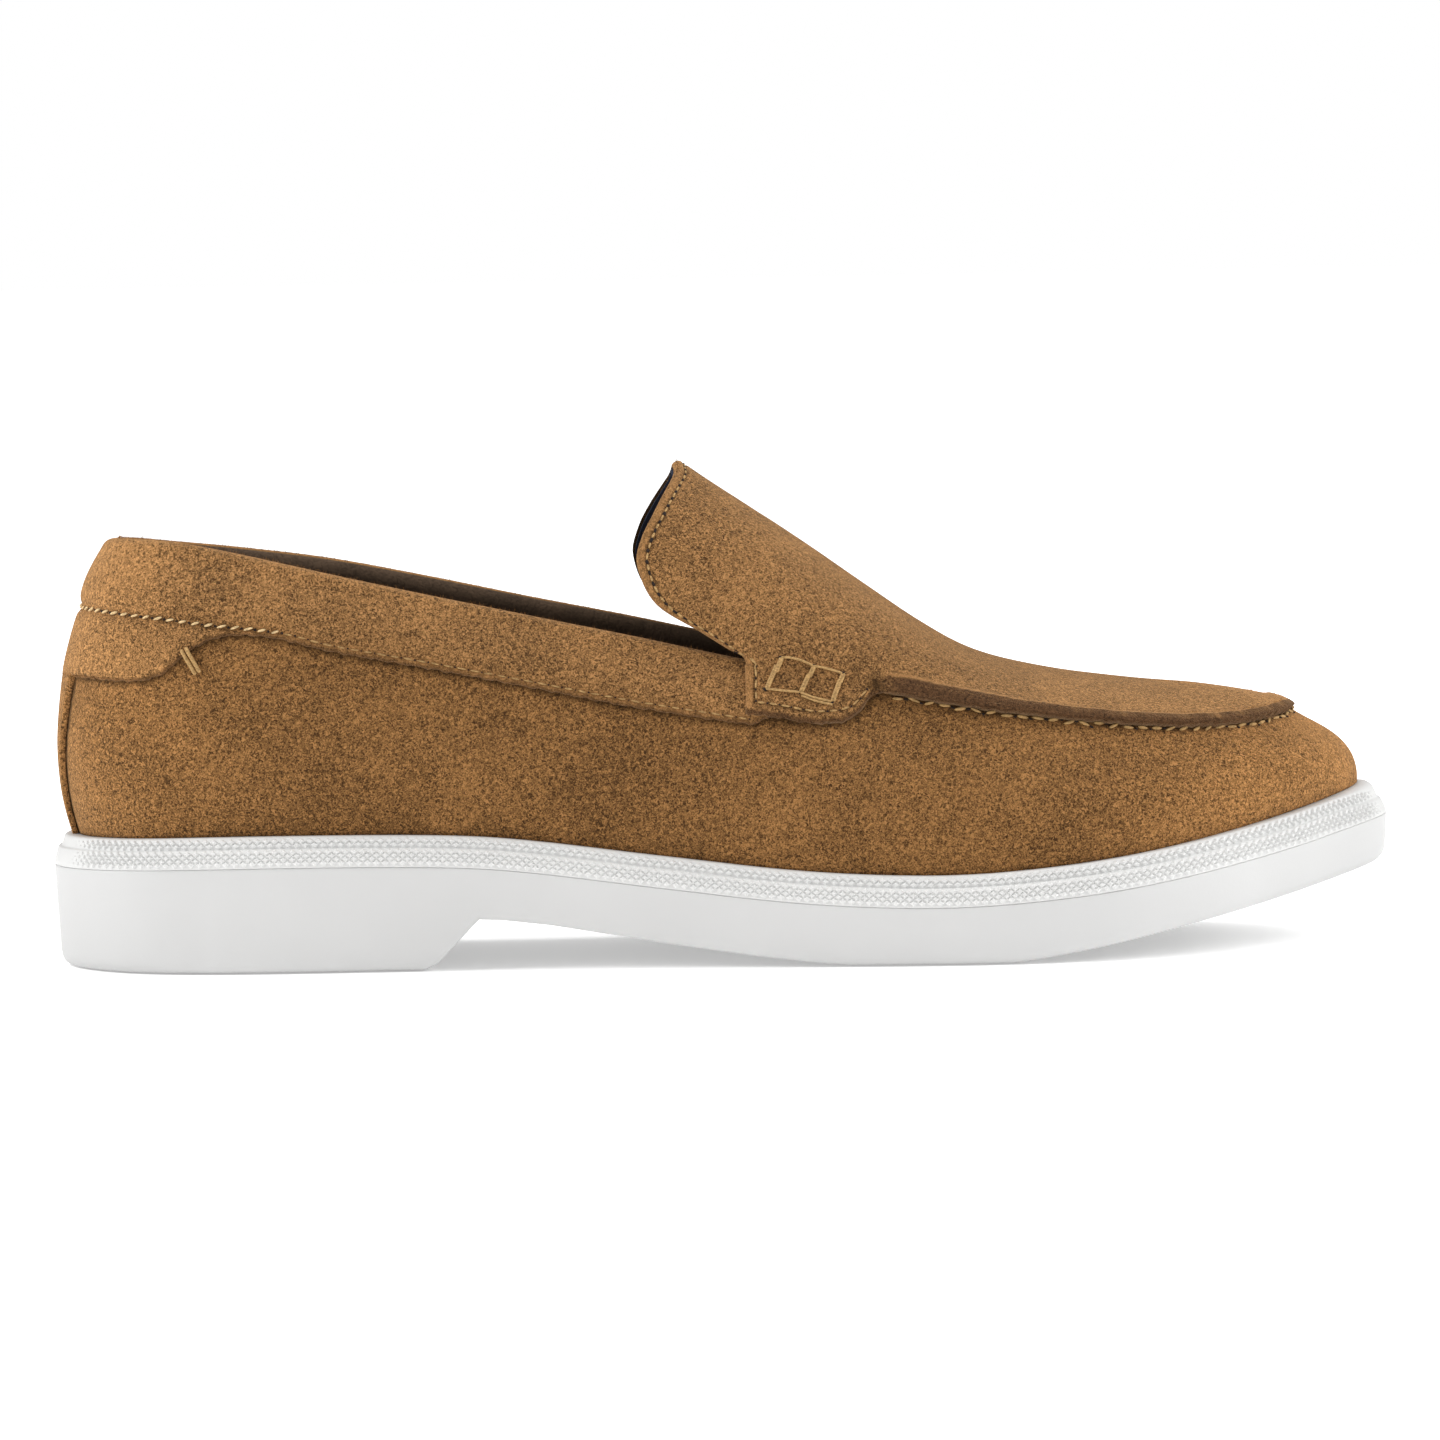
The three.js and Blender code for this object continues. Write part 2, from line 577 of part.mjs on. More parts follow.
// Strip round the heel, rolled over the topline.
function collarBand() {
  const grid = slicesRoundHeel(BAND_END_STATION).map((s) => {
    const low = collarLowShare(s);
    const outside = [0, 0.3, 0.65, 1].map((k) => wallPoint(s, low + (1 - low) * k));
    const inwards = planNormal(s).negate();
    const top = topEdge(s);
    const roll = [[1.6, 1.3], [3.4, 1.1], [4.9, -1.2]];
    return [...outside, ...roll.map(([d, rise]) => top.clone().addScaledVector(inwards, d).setZ(top.z + rise))];
  });
  return sheet(grid, GAP + COLLAR_SUEDE, GAP);
}

function collarFoam() {
  const grid = slicesRoundHeel(BAND_END_STATION).map((s) => {
    const low = wallTopShare(s) + 2 * GAP / wallLength(s);
    return [0, 0.5, 1].map((k) => wallPoint(s, low + (1 - low) * k));
  });
  return sheet(grid, 0, liningOffset + GAP);
}

// Narrow strip over the heel seam, wider at the top, tucked in behind the collar band.
function backStrip() {
  const bottomHalf = 0.36;
  const topHalf = 0.75;
  const top = collarLowShare(0) - 2 * GAP / wallLength(0);
  const across = [-1, -0.5, 0, 0.5, 1];
  const rows = [0.02, 0.25, 0.5, 0.75, 1];
  const grid = across.map((k) =>
    rows.map((row) => {
      const half = bottomHalf + (topHalf - bottomHalf) * row;
      return wallPoint((STATION_COUNT + k * half) % STATION_COUNT, row * top);
    }),
  );
  return sheet(grid, GAP + STRIP_SUEDE, GAP);
}

// ---- Threads ----
function threadAlong(points, radius, steps) {
  const sides = 5;
  const section = new THREE.Shape(
    Array.from({ length: sides }, (_, i) => {
      const angle = (2 * Math.PI * i) / sides;
      return new THREE.Vector2(radius * Math.cos(angle), radius * Math.sin(angle));
    }),
  );
  const path = points.length > 2 ? new THREE.CatmullRomCurve3(points) : new THREE.LineCurve3(...points);
  return new THREE.ExtrudeGeometry(section, { steps, bevelEnabled: false, extrudePath: path });
}

// A point held off the surface that runs through three neighbours.
function lifted(surface, s, t, lift) {
  const ds = 0.05;
  const dt = 0.02;
  const along = surface(s + ds, t).sub(surface(s - ds, t));
  const up = surface(s, t + dt).sub(surface(s, t - dt));
  return surface(s, t).addScaledVector(along.cross(up).normalize(), lift);
}

function apronSeamThread() {
  const low = (s) => apronLowShare(s) - (GAP + THREAD) / wallLength(s);
  const start = TAB_END_STATION + 0.1;
  const slices = slicesBetween(start, STATION_COUNT - start);
  const points = slices.map((s) => lifted(wallPoint, s, low(s), GAP + THREAD / 2));
  return threadAlong(points, THREAD / 2, Math.round(slices.length * 1.3));
}

function collarStitchThread() {
  const slices = slicesRoundHeel(BAND_END_STATION - 0.05);
  const lift = 2 * GAP + COLLAR_SUEDE + THREAD / 2;
  const share = (s) => wallShareAt(s, curveThrough(COLLAR_STITCH, fromHeel(s)) * scaleZ);
  const points = slices.map((s) => lifted(wallPoint, s, share(s), lift));
  return threadAlong(points, THREAD / 2, Math.round(slices.length * 1.3));
}

function tongueEdgeThread() {
  const lift = 2 * GAP + APRON_SUEDE + THREAD / 2;
  const inset = 8.025;
  const shares = [0.1, 0.2, 0.32, 0.45, 0.6, 0.75, 0.88, 0.97];
  const lateral = shares.map((share) => lifted(instepPoint, inset, share, lift));
  const medial = shares.map((share) => lifted(instepPoint, STATION_COUNT - inset, share, lift));
  return threadAlong([...lateral, ...medial.reverse()], THREAD / 2, 28);
}

// Box stitch of a tab: three bars joined by an upper and a lower thread.
function tabStitch(isLateral) {
  const lift = 2 * GAP + APRON_SUEDE + BOX_THREAD / 2;
  const at = (s, z) => {
    const station = isLateral ? s : STATION_COUNT - s;
    return lifted(wallPoint, station, wallShareAt(station, z * scaleZ), lift);
  };
  const upper = [at(8.32, 65), at(8.58, 62.6), at(8.84, 60.6)];
  const lower = [at(8.18, 60), at(8.46, 58), at(8.73, 56.2)];
  const lines = [...upper.map((p, i) => [p, lower[i]]), [upper[0], upper[2]], [lower[0], lower[2]]];
  const bars = lines.map((ends) => toManifold(threadAlong(ends, BOX_THREAD / 2, 1)));
  return fromManifold(bars.reduce((all, bar) => all.add(bar)));
}

function bartack(isLateral) {
  const lift = 2 * GAP + COLLAR_SUEDE + THREAD / 2;
  const station = (s) => (isLateral ? s : STATION_COUNT - s);
  const ends = [[2.42, 75.6], [2.62, 76]].map(([s, z]) =>
    lifted(wallPoint, station(s), wallShareAt(station(s), z * scaleZ), lift),
  );
  return threadAlong(ends, THREAD / 2, 1);
}

// ---- The shoe ----
const suede = (colour) => new THREE.MeshStandardMaterial({ color: colour, roughness: 0.95, metalness: 0 });
const whiteSole = () => new THREE.MeshStandardMaterial({ color: 0xe8e8e6, roughness: 0.55, metalness: 0 });
const darkCloth = () => new THREE.MeshStandardMaterial({ color: 0x231d17, roughness: 0.9, metalness: 0 });
const plain = (colour, roughness) => new THREE.MeshStandardMaterial({ color: colour, roughness, metalness: 0 });
const steel = () => new THREE.MeshStandardMaterial({ color: 0x9a9da0, roughness: 0.35, metalness: 1 });
const thread = () => plain(0xb98a52, 0.8);

const shoe = new THREE.Group();
function place(name, geometry, material) {
  const mesh = new THREE.Mesh(geometry, material);
  mesh.name = name;
  shoe.add(mesh);
}

place("sole_base", soleBase(), whiteSole());
place("welt_band", weltBand(), whiteSole());
place("shank", shank(), steel());
place("bottom_filler", bottomFiller(), plain(0x8a7458, 0.9));
place("insole_board", insoleBoard(), plain(0xb59a72, 0.9));
place("heel_pad", heelPad(), plain(0x3b3b3f, 0.9));
place("footbed", footbed(), plain(0x55524e, 0.95));
place("sock_lining", sockLining(), darkCloth());
place("side_wall", sideWall(), suede(0x936a3e));
place("heel_counter", heelCounter(), plain(0xc9b48f, 0.85));
place("toe_puff", toePuff(), plain(0xc9b48f, 0.85));
place("quarter_lining", quarterLining(), darkCloth());
place("vamp_lining", vampLining(), darkCloth());
place("tongue_lining", tongueLining(), darkCloth());
place("apron", apron(), suede(0xa17848));
place("collar_foam", collarFoam(), plain(0xd8d2c4, 0.95));
place("collar_band", collarBand(), suede(0x89633d));
place("back_strip", backStrip(), suede(0x936a3e));
place("apron_seam_thread", apronSeamThread(), thread());
place("collar_stitch_thread", collarStitchThread(), thread());
place("tongue_edge_thread", tongueEdgeThread(), thread());
place("tab_stitch_lateral", tabStitch(true), thread());
place("tab_stitch_medial", tabStitch(false), thread());
place("bartack_lateral", bartack(true), thread());
place("bartack_medial", bartack(false), thread());

// The origin is the middle of the sole's outline, on the floor.
const box = new THREE.Box3().setFromObject(shoe.getObjectByName("sole_base"));
const centre = box.getCenter(new THREE.Vector3());
shoe.position.set(-centre.x, -centre.y, 0);

export default shoe;
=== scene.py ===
"""Suede moccasin on a white unit sole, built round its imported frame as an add-on of plain operators."""

import math

import bmesh
import bpy
import numpy as np
from bpy.props import FloatProperty, FloatVectorProperty, PointerProperty
from mathutils import Matrix, Vector


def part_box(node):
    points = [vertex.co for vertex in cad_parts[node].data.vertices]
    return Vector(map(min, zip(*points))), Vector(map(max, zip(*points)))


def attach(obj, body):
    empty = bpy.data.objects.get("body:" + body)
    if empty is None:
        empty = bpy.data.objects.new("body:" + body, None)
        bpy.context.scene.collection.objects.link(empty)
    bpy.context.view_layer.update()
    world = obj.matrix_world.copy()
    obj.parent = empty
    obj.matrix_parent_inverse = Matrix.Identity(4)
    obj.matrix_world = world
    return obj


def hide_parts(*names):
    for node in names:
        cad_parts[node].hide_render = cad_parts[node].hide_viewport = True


bl_info = {
    "name": "Moccasin",
    "version": (1, 0, 0),
    "blender": (4, 5, 0),
    "location": "3D View > Sidebar > Moccasin",
    "description": "Builds a suede moccasin and its studio round the packed frame",
    "category": "Object",
}

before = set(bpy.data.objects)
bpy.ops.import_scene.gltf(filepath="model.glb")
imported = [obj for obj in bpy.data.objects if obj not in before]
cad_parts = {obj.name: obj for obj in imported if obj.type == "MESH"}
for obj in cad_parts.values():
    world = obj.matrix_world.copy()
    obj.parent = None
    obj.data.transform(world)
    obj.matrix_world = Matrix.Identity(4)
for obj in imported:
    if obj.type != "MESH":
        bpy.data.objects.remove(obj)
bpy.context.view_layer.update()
MM = 0.001
BODY = "root"

# ---- Form tables, in millimetres, drawn for this length and width between the welts ----
FORM_LENGTH = 290.0
FORM_WIDTH = 92.6
WELT = 5.0  # how far the sole stands out beyond the upper
# Stations from the heel seam along the lateral side, round the toe and back:
# bottom edge x, y; top edge x, y, z; bulge of the wall low down and high up.
STATIONS = np.array([
    [-145, 0, -136.5, 0, 93.5, 9.5, 6.5],
    [-141.5, -14, -132.8, -12, 93.3, 9.5, 6.5],
    [-130, -25.5, -121.5, -20.5, 91.9, 9, 6.5],
    [-113, -31, -105.5, -25.5, 89.1, 8.5, 6],
    [-92, -32.8, -87, -28, 85, 8, 6],
    [-69, -33.5, -66, -29.3, 80.4, 7.5, 5.5],
    [-45, -34.5, -44, -30, 75.3, 7, 5],
    [-20, -37, -20, -31, 70.1, 7, 5],
    [5, -41, 4, -33, 65.5, 7, 5],
    [30, -45, 28, -36.5, 61.2, 7, 4.5],
    [55, -47.3, 52, -38.5, 56.6, 7, 4],
    [79, -45.5, 75, -37.5, 53.2, 7, 3.5],
    [101, -39, 96, -32.5, 50.9, 7, 3],
    [119.5, -29.5, 111, -25.5, 50.2, 7.5, 2.5],
    [132.5, -19.5, 121, -17.5, 50.8, 8, 2],
    [141.5, -8.5, 127, -8.5, 51.8, 8, 1.5],
    [145, 2.5, 129, 1, 52.4, 8, 1.5],
    [142, 13.5, 127, 10.5, 52, 8, 1.5],
    [133.5, 24, 121, 19.5, 51.2, 8, 2],
    [121, 32.5, 111, 27.5, 50.8, 7.5, 2.5],
    [103, 39.5, 96, 34, 51.6, 7, 3],
    [80.5, 44.3, 75, 38, 53.8, 7, 3.5],
    [56, 45, 52, 38.3, 57.2, 7, 4],
    [31, 41, 28, 36, 61.7, 7, 4.5],
    [6, 34.5, 4, 32, 65.9, 7, 5],
    [-19, 29.5, -20, 29, 70.3, 7, 5],
    [-44, 28, -44, 27.5, 75.3, 7, 5],
    [-68, 28.8, -66, 27, 80.4, 7.5, 5.5],
    [-91, 29.5, -87, 26, 85, 8, 6],
    [-112, 29, -105.5, 24, 89.1, 8.5, 6],
    [-129.5, 24.5, -121.5, 19.5, 91.9, 9, 6.5],
    [-141.3, 13.5, -132.8, 11.5, 93.3, 9.5, 6.5],
], dtype=float)
COUNT = len(STATIONS)
TOE = COUNT // 2
# Height of the upper's bottom edge along the shoe.
FEATHER = [
    [-145, 29.4], [-110, 30.2], [-72, 30], [-50, 28.9], [-15, 24.5], [16, 20.9],
    [44, 19.6], [67, 20.6], [92, 23.5], [122, 29.2], [145, 34.6],
]
# Height of the middle line of instep and apron.
RIDGE = [
    [-10, 108.2], [8, 97], [20, 88.9], [34, 79.1], [44, 72], [52, 67], [60, 63.6],
    [70, 60.9], [84, 58.2], [100, 56.1], [116, 54.4], [130, 52.6],
]
# Walking surface: heel block, slanted breast, waist and curved forefoot.
TREAD = [
    [-160, 0], [-68, 0], [-65, 1.5], [-56, 11], [-51, 10.8], [-40, 9.5], [-30, 7.8], [-14, 5],
    [5, 2.2], [18, 0.6], [26, 0], [62, 0], [72, 1.4], [84, 3.4], [96, 5.8], [110, 8.6],
    [124, 11.6], [137, 14.4], [160, 19.5],
]
# Rear edge of the tongue from the collar up to its tip: share of the way, x, half-width, z.
TONGUE_EDGE = [
    [0, 4.2, 32.5, 65.5], [0.02, 4.3, 32.6, 66.8], [0.06, 1.3, 31.8, 68.9], [0.15, -6.1, 30.2, 73.7],
    [0.27, -15.4, 28.5, 79.7],
    [0.39, -19.2, 25.5, 88.2], [0.48, -18.2, 22.6, 94.2], [0.6, -15.8, 18.2, 99.4],
    [0.72, -13.2, 13, 103.6], [0.86, -10.8, 6.5, 107.1], [1, -10, 0, 108.2],
]
# Where each cross line of the apron meets its middle line: station, x.
SPINE = [[8.16, 8], [9, 28], [10, 50], [11, 69], [12, 83], [13, 90], [14, 93.5], [15, 95], [16, 95.5]]
# How far the collar's roll stands over the form: station, on the outer side, on the inner side.
RIM_RISE = [
    [0, 0.4, 0.4], [1, 0.9, 0.2], [2, 1.6, 0.1], [3, 1.2, 0.9], [4, 0.9, 2.3], [5, 0.6, 2.5],
    [6, 0.8, 2.6], [7, 0.8, 2.4], [8, 0.0, 1.2], [9, 0.0, 0.0],
]
# Lower edge of the collar band: station from the heel seam, height.
COLLAR_LOW = [
    [0, 65], [1, 65], [1.9, 64.8], [2.2, 66.5], [2.45, 71], [2.75, 74], [3.1, 74.6], [3.5, 73.6],
    [4, 71], [5, 66.8], [6, 62.2], [7, 57.2], [8, 53.2], [8.12, 53.5], [8.22, 54.8], [8.4, 57.6],
]
# Lower edge of the tab: station, height.
TAB_LOW = [[8, 55], [8.3, 54], [8.7, 52.9], [8.9, 53.4], [9, 54.6], [9.1, 57], [9.2, 58.6]]
# Height of the collar's stitch line: station, height.
COLLAR_STITCH = [
    [0, 80], [1, 79.6], [2, 78.2], [2.7, 76.6], [3.2, 75.6], [3.6, 74.4], [4, 72.2], [5, 68],
    [6, 63.4], [7, 58.4], [8, 54.2],
]
TONGUE_REAR = 8.0  # station of the tongue's rear edge
TONGUE_STATION = 8.16  # behind this the tongue runs to its rear edge
BAND_END = 8.4  # the collar band's ends are tucked under the tabs

# ---- Layers and edges, in millimetres unless the comment says otherwise ----
UPPER_THICK = 1.6
STRIP_TOP = 65.5  # height at which the strip over the heel seam runs under the collar band
LINING_SKIN = (-3.4, -4.2)  # both faces of a lining, outwards from the form
TAB_SKIN = 2.0  # outer face of a tab, outwards from the form
SOLE_FOOT, SOLE_TOP = 3.95, 4.98  # how far the sole's side stands out low down and under the rim
ROLL_CENTRE = -1.25  # middle of the collar's roll, outwards from the form
ROLL_FROM = 0.985  # share of the wall's height at which the collar starts to roll over
STITCH_PITCH = 2.7  # on tongue and tabs
EDGE_POINTS = 260  # number of points along each half of the tongue's rear edge


# ---- Curves ----
def curve_through(rows, x, column=1):
    """Smooth curve through rows of x and values, with finite-difference slopes."""
    table = np.asarray(rows, dtype=float)
    xs, ys = table[:, 0], table[:, column]
    x = np.asarray(x, dtype=float)
    i = np.clip(np.searchsorted(xs, x, side="left") - 1, 0, len(xs) - 2)
    last = len(xs) - 1
    before, after = np.maximum(np.arange(len(xs)) - 1, 0), np.minimum(np.arange(len(xs)) + 1, last)
    tangents = (ys[after] - ys[before]) / (xs[after] - xs[before])
    width = xs[i + 1] - xs[i]
    u = np.clip((x - xs[i]) / width, 0.0, 1.0)
    rise = u * u * (3 - 2 * u)
    level = ys[i] * (1 - rise) + ys[i + 1] * rise
    return level + tangents[i] * u * (1 - u) ** 2 * width - tangents[i + 1] * u * u * (1 - u) * width


def spline_controls(rows, rounds=40):
    """Control points of the closed cubic B-spline that passes through the stations."""
    controls = rows.copy()
    for _ in range(rounds):
        controls = (6 * rows - np.roll(controls, 1, axis=0) - np.roll(controls, -1, axis=0)) / 4
    return controls


CONTROLS = spline_controls(STATIONS)


def at_station(s):
    """The station table, read smoothly anywhere round the shoe."""
    s = np.asarray(s, dtype=float)
    base = np.floor(s).astype(int)
    u = (s - base)[..., None]
    weights = [(1 - u) ** 3, 3 * u**3 - 6 * u**2 + 4, -3 * u**3 + 3 * u**2 + 3 * u + 1, u**3]
    return sum(w / 6 * CONTROLS[(base - 1 + k) % COUNT] for k, w in enumerate(weights))


def smoothstep(x, low, high):
    """Runs smoothly from 0 at low to 1 at high."""
    u = np.clip((np.asarray(x, dtype=float) - low) / (high - low), 0, 1)
    return u * u * (3 - 2 * u)


def unit(v):
    return v / np.maximum(np.linalg.norm(v, axis=-1, keepdims=True), 1e-12)


def frame_scale():
    """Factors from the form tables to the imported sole's length and width, and the sole's centre."""
    low, high = (np.array(corner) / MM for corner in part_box("sole_base"))
    sx = (high[0] - low[0] - 2 * WELT) / FORM_LENGTH
    sy = (high[1] - low[1] - 2 * WELT) / FORM_WIDTH
    return sx, sy, (low + high) / 2


SX, SY, SOLE_CENTRE = frame_scale()
SCALE = np.array([SX, SY, 1.0])


def feather_z(x):
    """Height of the line where the upper meets the sole."""
    return curve_through(FEATHER, np.asarray(x) / SX)


def tread_z(x):
    table = np.asarray(TREAD, dtype=float)
    return np.interp(np.asarray(x) / SX, table[:, 0], table[:, 1])


def bottom_edge(s):
    row = at_station(s)
    x, y = row[..., 0] * SX, row[..., 1] * SY
    return np.stack([x, y, feather_z(x)], axis=-1)


def top_edge(s):
    return at_station(s)[..., 2:5] * SCALE


def plan_normal(s):
    """Level direction that points out of the shoe at each station."""
    along = bottom_edge(np.asarray(s) + 0.02) - bottom_edge(np.asarray(s) - 0.02)
    return unit(np.stack([along[..., 1], -along[..., 0], np.zeros(along.shape[:-1])], axis=-1))


def wall(s, t):
    """Outer form of the upper's wall: t runs from the bottom edge (0) to the top edge (1)."""
    s, t = np.broadcast_arrays(np.asarray(s, dtype=float), np.asarray(t, dtype=float))
    low, high = bottom_edge(s), top_edge(s)
    chord = high - low
    side = plan_normal(s)
    share = np.sum(side * chord, axis=-1, keepdims=True) / np.sum(chord * chord, axis=-1, keepdims=True)
    outward = unit(side - chord * share)
    row = at_station(s)
    bulge = 3 * (1 - t) * t * ((1 - t) * row[..., 5] + t * row[..., 6])
    return low + chord * t[..., None] + outward * bulge[..., None]


def wall_share_at(s, z):
    """The share of the way up the wall at which it reaches height z."""
    s, z = np.broadcast_arrays(np.asarray(s, dtype=float), np.asarray(z, dtype=float))
    low, high = np.zeros(s.shape), np.ones(s.shape)
    for _ in range(18):
        middle = (low + high) / 2
        below = wall(s, middle)[..., 2] < z
        low, high = np.where(below, middle, low), np.where(below, high, middle)
    return (low + high) / 2


def wall_skin(s, t):
    """Grid of points of the wall at stations s, one row of shares t for each, with their facing."""
    return wall(s[:, None], t), wall_normal(s[:, None], t)


def up_wall(low, top, ramp):
    """Shares that run up the wall from low to top, one row for each station."""
    return low[:, None] + (top - low[:, None]) * ramp[None, :]


def over_instep(halves):
    """Joins a lateral and a medial half that share their last column."""
    return np.concatenate([halves[0], halves[1][:, -2::-1]], axis=1)


def tab_rise(near, climb):
    """How far the foot of the tongue stands up over the tab, in millimetres."""
    return 1.55 * (1 - smoothstep(near, 8.25, 8.62)) * np.exp(-np.clip(climb, 0, None) / 14)


def wall_length(s):
    """Length up the wall in millimetres."""
    return np.linalg.norm(top_edge(s) - bottom_edge(s), axis=-1)


def from_heel(s):
    """Stations from the heel seam, the same on both sides."""
    return np.minimum(s, COUNT - np.asarray(s, dtype=float))


def cross_line(s, share):
    """A cross line of the instep, from the top edge (share 0) to the middle line (share 1)."""
    near = from_heel(s)
    lateral, medial = top_edge(near), top_edge(COUNT - near)
    edge = np.where((np.asarray(s) <= TOE)[..., None], lateral, medial)
    spine_x = curve_through(SPINE, near) * SX
    ridge = curve_through(RIDGE, spine_x / SX)
    spine = np.stack([spine_x, (lateral[..., 1] + medial[..., 1]) / 2, ridge], axis=-1)
    angle = share * math.pi / 2
    roundness = 1 + 0.7 * np.clip((11 - near) / 2.5, 0, 1)
    reach, climb = np.cos(angle), np.sin(angle) ** (2 / roundness)
    plan = spine[..., :2] + (edge[..., :2] - spine[..., :2]) * reach[..., None]
    z = edge[..., 2] + (spine[..., 2] - edge[..., 2]) * climb
    return np.concatenate([plan, z[..., None]], axis=-1)


def tongue_edge(is_lateral, share):
    """Rear edge of the tongue on one side."""
    half = curve_through(TONGUE_EDGE, share, 2) * SY
    middle = (top_edge(TONGUE_STATION)[1] + top_edge(COUNT - TONGUE_STATION)[1]) / 2
    y = middle + np.where(is_lateral, -half, half)
    bend = 0.8 * smoothstep(share, 0.4, 0.6) * (1 - smoothstep(share, 0.85, 1.0))
    x = curve_through(TONGUE_EDGE, share, 1) + np.where(is_lateral, bend, 1.3 * np.sin(math.pi * share))
    z = curve_through(TONGUE_EDGE, share, 3) + 1.2 * smoothstep(share, 0.8, 1.0)
    return np.stack([x * SX, y, z], axis=-1)


def instep(s, share):
    """Instep and apron: s from the tongue's rear edge round the toe to the other side."""
    s, share = np.broadcast_arrays(np.asarray(s, dtype=float), np.asarray(share, dtype=float))
    near = from_heel(s)
    is_lateral = s < TOE
    clamped = np.where(is_lateral, np.maximum(s, TONGUE_STATION), np.minimum(s, COUNT - TONGUE_STATION))
    full = cross_line(clamped, share)
    back = np.clip((TONGUE_STATION - near) / (TONGUE_STATION - TONGUE_REAR), 0, 1)[..., None]
    return full * (1 - back) + tongue_edge(is_lateral, share) * back


def grid_normals(points):
    """Outward directions of a grid of points, columns first, rows running upwards or inwards."""
    across = np.gradient(points, axis=0)
    upward = np.gradient(points, axis=1)
    return unit(np.cross(across, upward))


def wall_normal(s, t):
    across = wall(np.asarray(s) + 0.03, t) - wall(np.asarray(s) - 0.03, t)
    upward = wall(s, np.asarray(t) + 0.01) - wall(s, np.asarray(t) - 0.01)
    return unit(np.cross(across, upward))


def softness(points):
    """Gentle unevenness of hand-lasted suede, in millimetres."""
    x, y, z = np.moveaxis(points, -1, 0)
    slow = np.sin(x / 9.7 + z / 12.1 + 1.3) * np.sin(z / 7.9 - x / 17.3 + y / 15.0)
    quick = np.sin(x / 4.3 - z / 5.2 + 0.4) * np.sin(z / 3.9 + x / 7.7 - y / 8.0)
    return 0.16 * slow + 0.05 * quick


def wobble(s):
    """Uneven cutting of a suede edge along the stations, in millimetres."""
    s = np.asarray(s, dtype=float)
    return 0.13 * np.sin(31 * s) + 0.1 * np.sin(67 * s + 1.1) + 0.08 * np.sin(113 * s + 2.3)


def edge_round(distance, thickness, radius):
    """Thickness of a skin close to its cut edge, which is rounded over."""
    u = np.clip(distance / radius, 0, 1)
    return thickness * np.sqrt(np.clip(1 - (1 - u) ** 2, 0, 1))


# ---- Meshes ----
def add_object(name, vertices, faces, finish):
    """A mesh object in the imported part's frame, from millimetres."""
    mesh = bpy.data.meshes.new(name)
    mesh.from_pydata((np.asarray(vertices) * MM).tolist(), [], [tuple(map(int, f)) for f in faces])
    mesh.polygons.foreach_set("use_smooth", [True] * len(mesh.polygons))
    mesh.materials.append(finish)
    obj = bpy.data.objects.new(name, mesh)
    bpy.context.scene.collection.objects.link(obj)
    return obj


def grid_faces(columns, rows, closed=False, start=0):
    """Four-sided faces between the points of a grid."""
    c = np.arange(columns if closed else columns - 1)
    r = np.arange(rows - 1)
    c, r = np.meshgrid(c, r, indexing="ij")
    nxt = (c + 1) % columns
    quad = np.stack([c * rows + r, nxt * rows + r, nxt * rows + r + 1, c * rows + r + 1], axis=-1)
    return quad.reshape(-1, 4) + start


def shell(name, outer, inner, finish, attributes=None, closed=False, folded=False):
    """A closed skin between an outer and an inner grid, with walls round its free edges.

    A closed skin runs round the shoe; a folded one has its last column folded along the middle of the toe.
    """
    columns, rows = outer.shape[:2]
    if folded:
        for grid in (outer, inner):
            grid[-1] = (grid[-1] + grid[-1, ::-1]) / 2
    size = columns * rows
    vertices = np.concatenate([outer.reshape(-1, 3), inner.reshape(-1, 3)])
    faces = [grid_faces(columns, rows, closed), grid_faces(columns, rows, closed, size)[:, ::-1]]
    index = np.arange(size).reshape(columns, rows)
    loops = [index[:, 0], index[::-1, -1]]
    if closed:
        loops = [np.append(index[:, 0], index[0, 0]), np.append(index[::-1, -1], index[-1, -1])]
    elif folded:
        loops.append(index[0, ::-1])
    else:
        loops += [index[-1, :], index[0, ::-1]]
    for loop in loops:
        a, b = loop[:-1], loop[1:]
        faces.append(np.stack([b, a, a + size, b + size], axis=-1))
    obj = add_object(name, vertices, np.concatenate(faces), finish)
    for key, values in (attributes or {}).items():
        layer = obj.data.attributes.new(key, "FLOAT", "POINT")
        layer.data.foreach_set("value", np.concatenate([values.ravel(), values.ravel()]).astype(np.float32))
    if folded:
        weld_doubles(obj, 1e-6)
    face_outwards(obj)
    return obj


def weld_doubles(obj, distance=2e-6):
    work = bmesh.new()
    work.from_mesh(obj.data)
    bmesh.ops.remove_doubles(work, verts=work.verts, dist=distance)
    work.to_mesh(obj.data)
    work.free()


def face_outwards(obj):
    """Drops faces that welding flattened and turns the rest outwards."""
    work = bmesh.new()
    work.from_mesh(obj.data)
    bmesh.ops.dissolve_degenerate(work, edges=work.edges, dist=1e-7)
    bmesh.ops.recalc_face_normals(work, faces=work.faces)
    if work.calc_volume(signed=True) < 0:
        bmesh.ops.reverse_faces(work, faces=work.faces)
    work.to_mesh(obj.data)
    work.free()


def settle(obj, slot, *nodes):
    obj.data.transform(Matrix.Translation(Vector(form_shift())))
    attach(obj, BODY)
    if nodes:
        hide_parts(*nodes)
    return obj


_SHIFT = []


def form_shift():
    """From the form tables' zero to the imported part's zero, in metres."""
    if not _SHIFT:
        s = np.linspace(0, COUNT, 1200, endpoint=False)
        outline = bottom_edge(s) + plan_normal(s) * WELT
        middle = (outline.max(axis=0) + outline.min(axis=0)) / 2
        _SHIFT.append(((SOLE_CENTRE[0] - middle[0]) * MM, (SOLE_CENTRE[1] - middle[1]) * MM, 0.0))
    return _SHIFT[0]


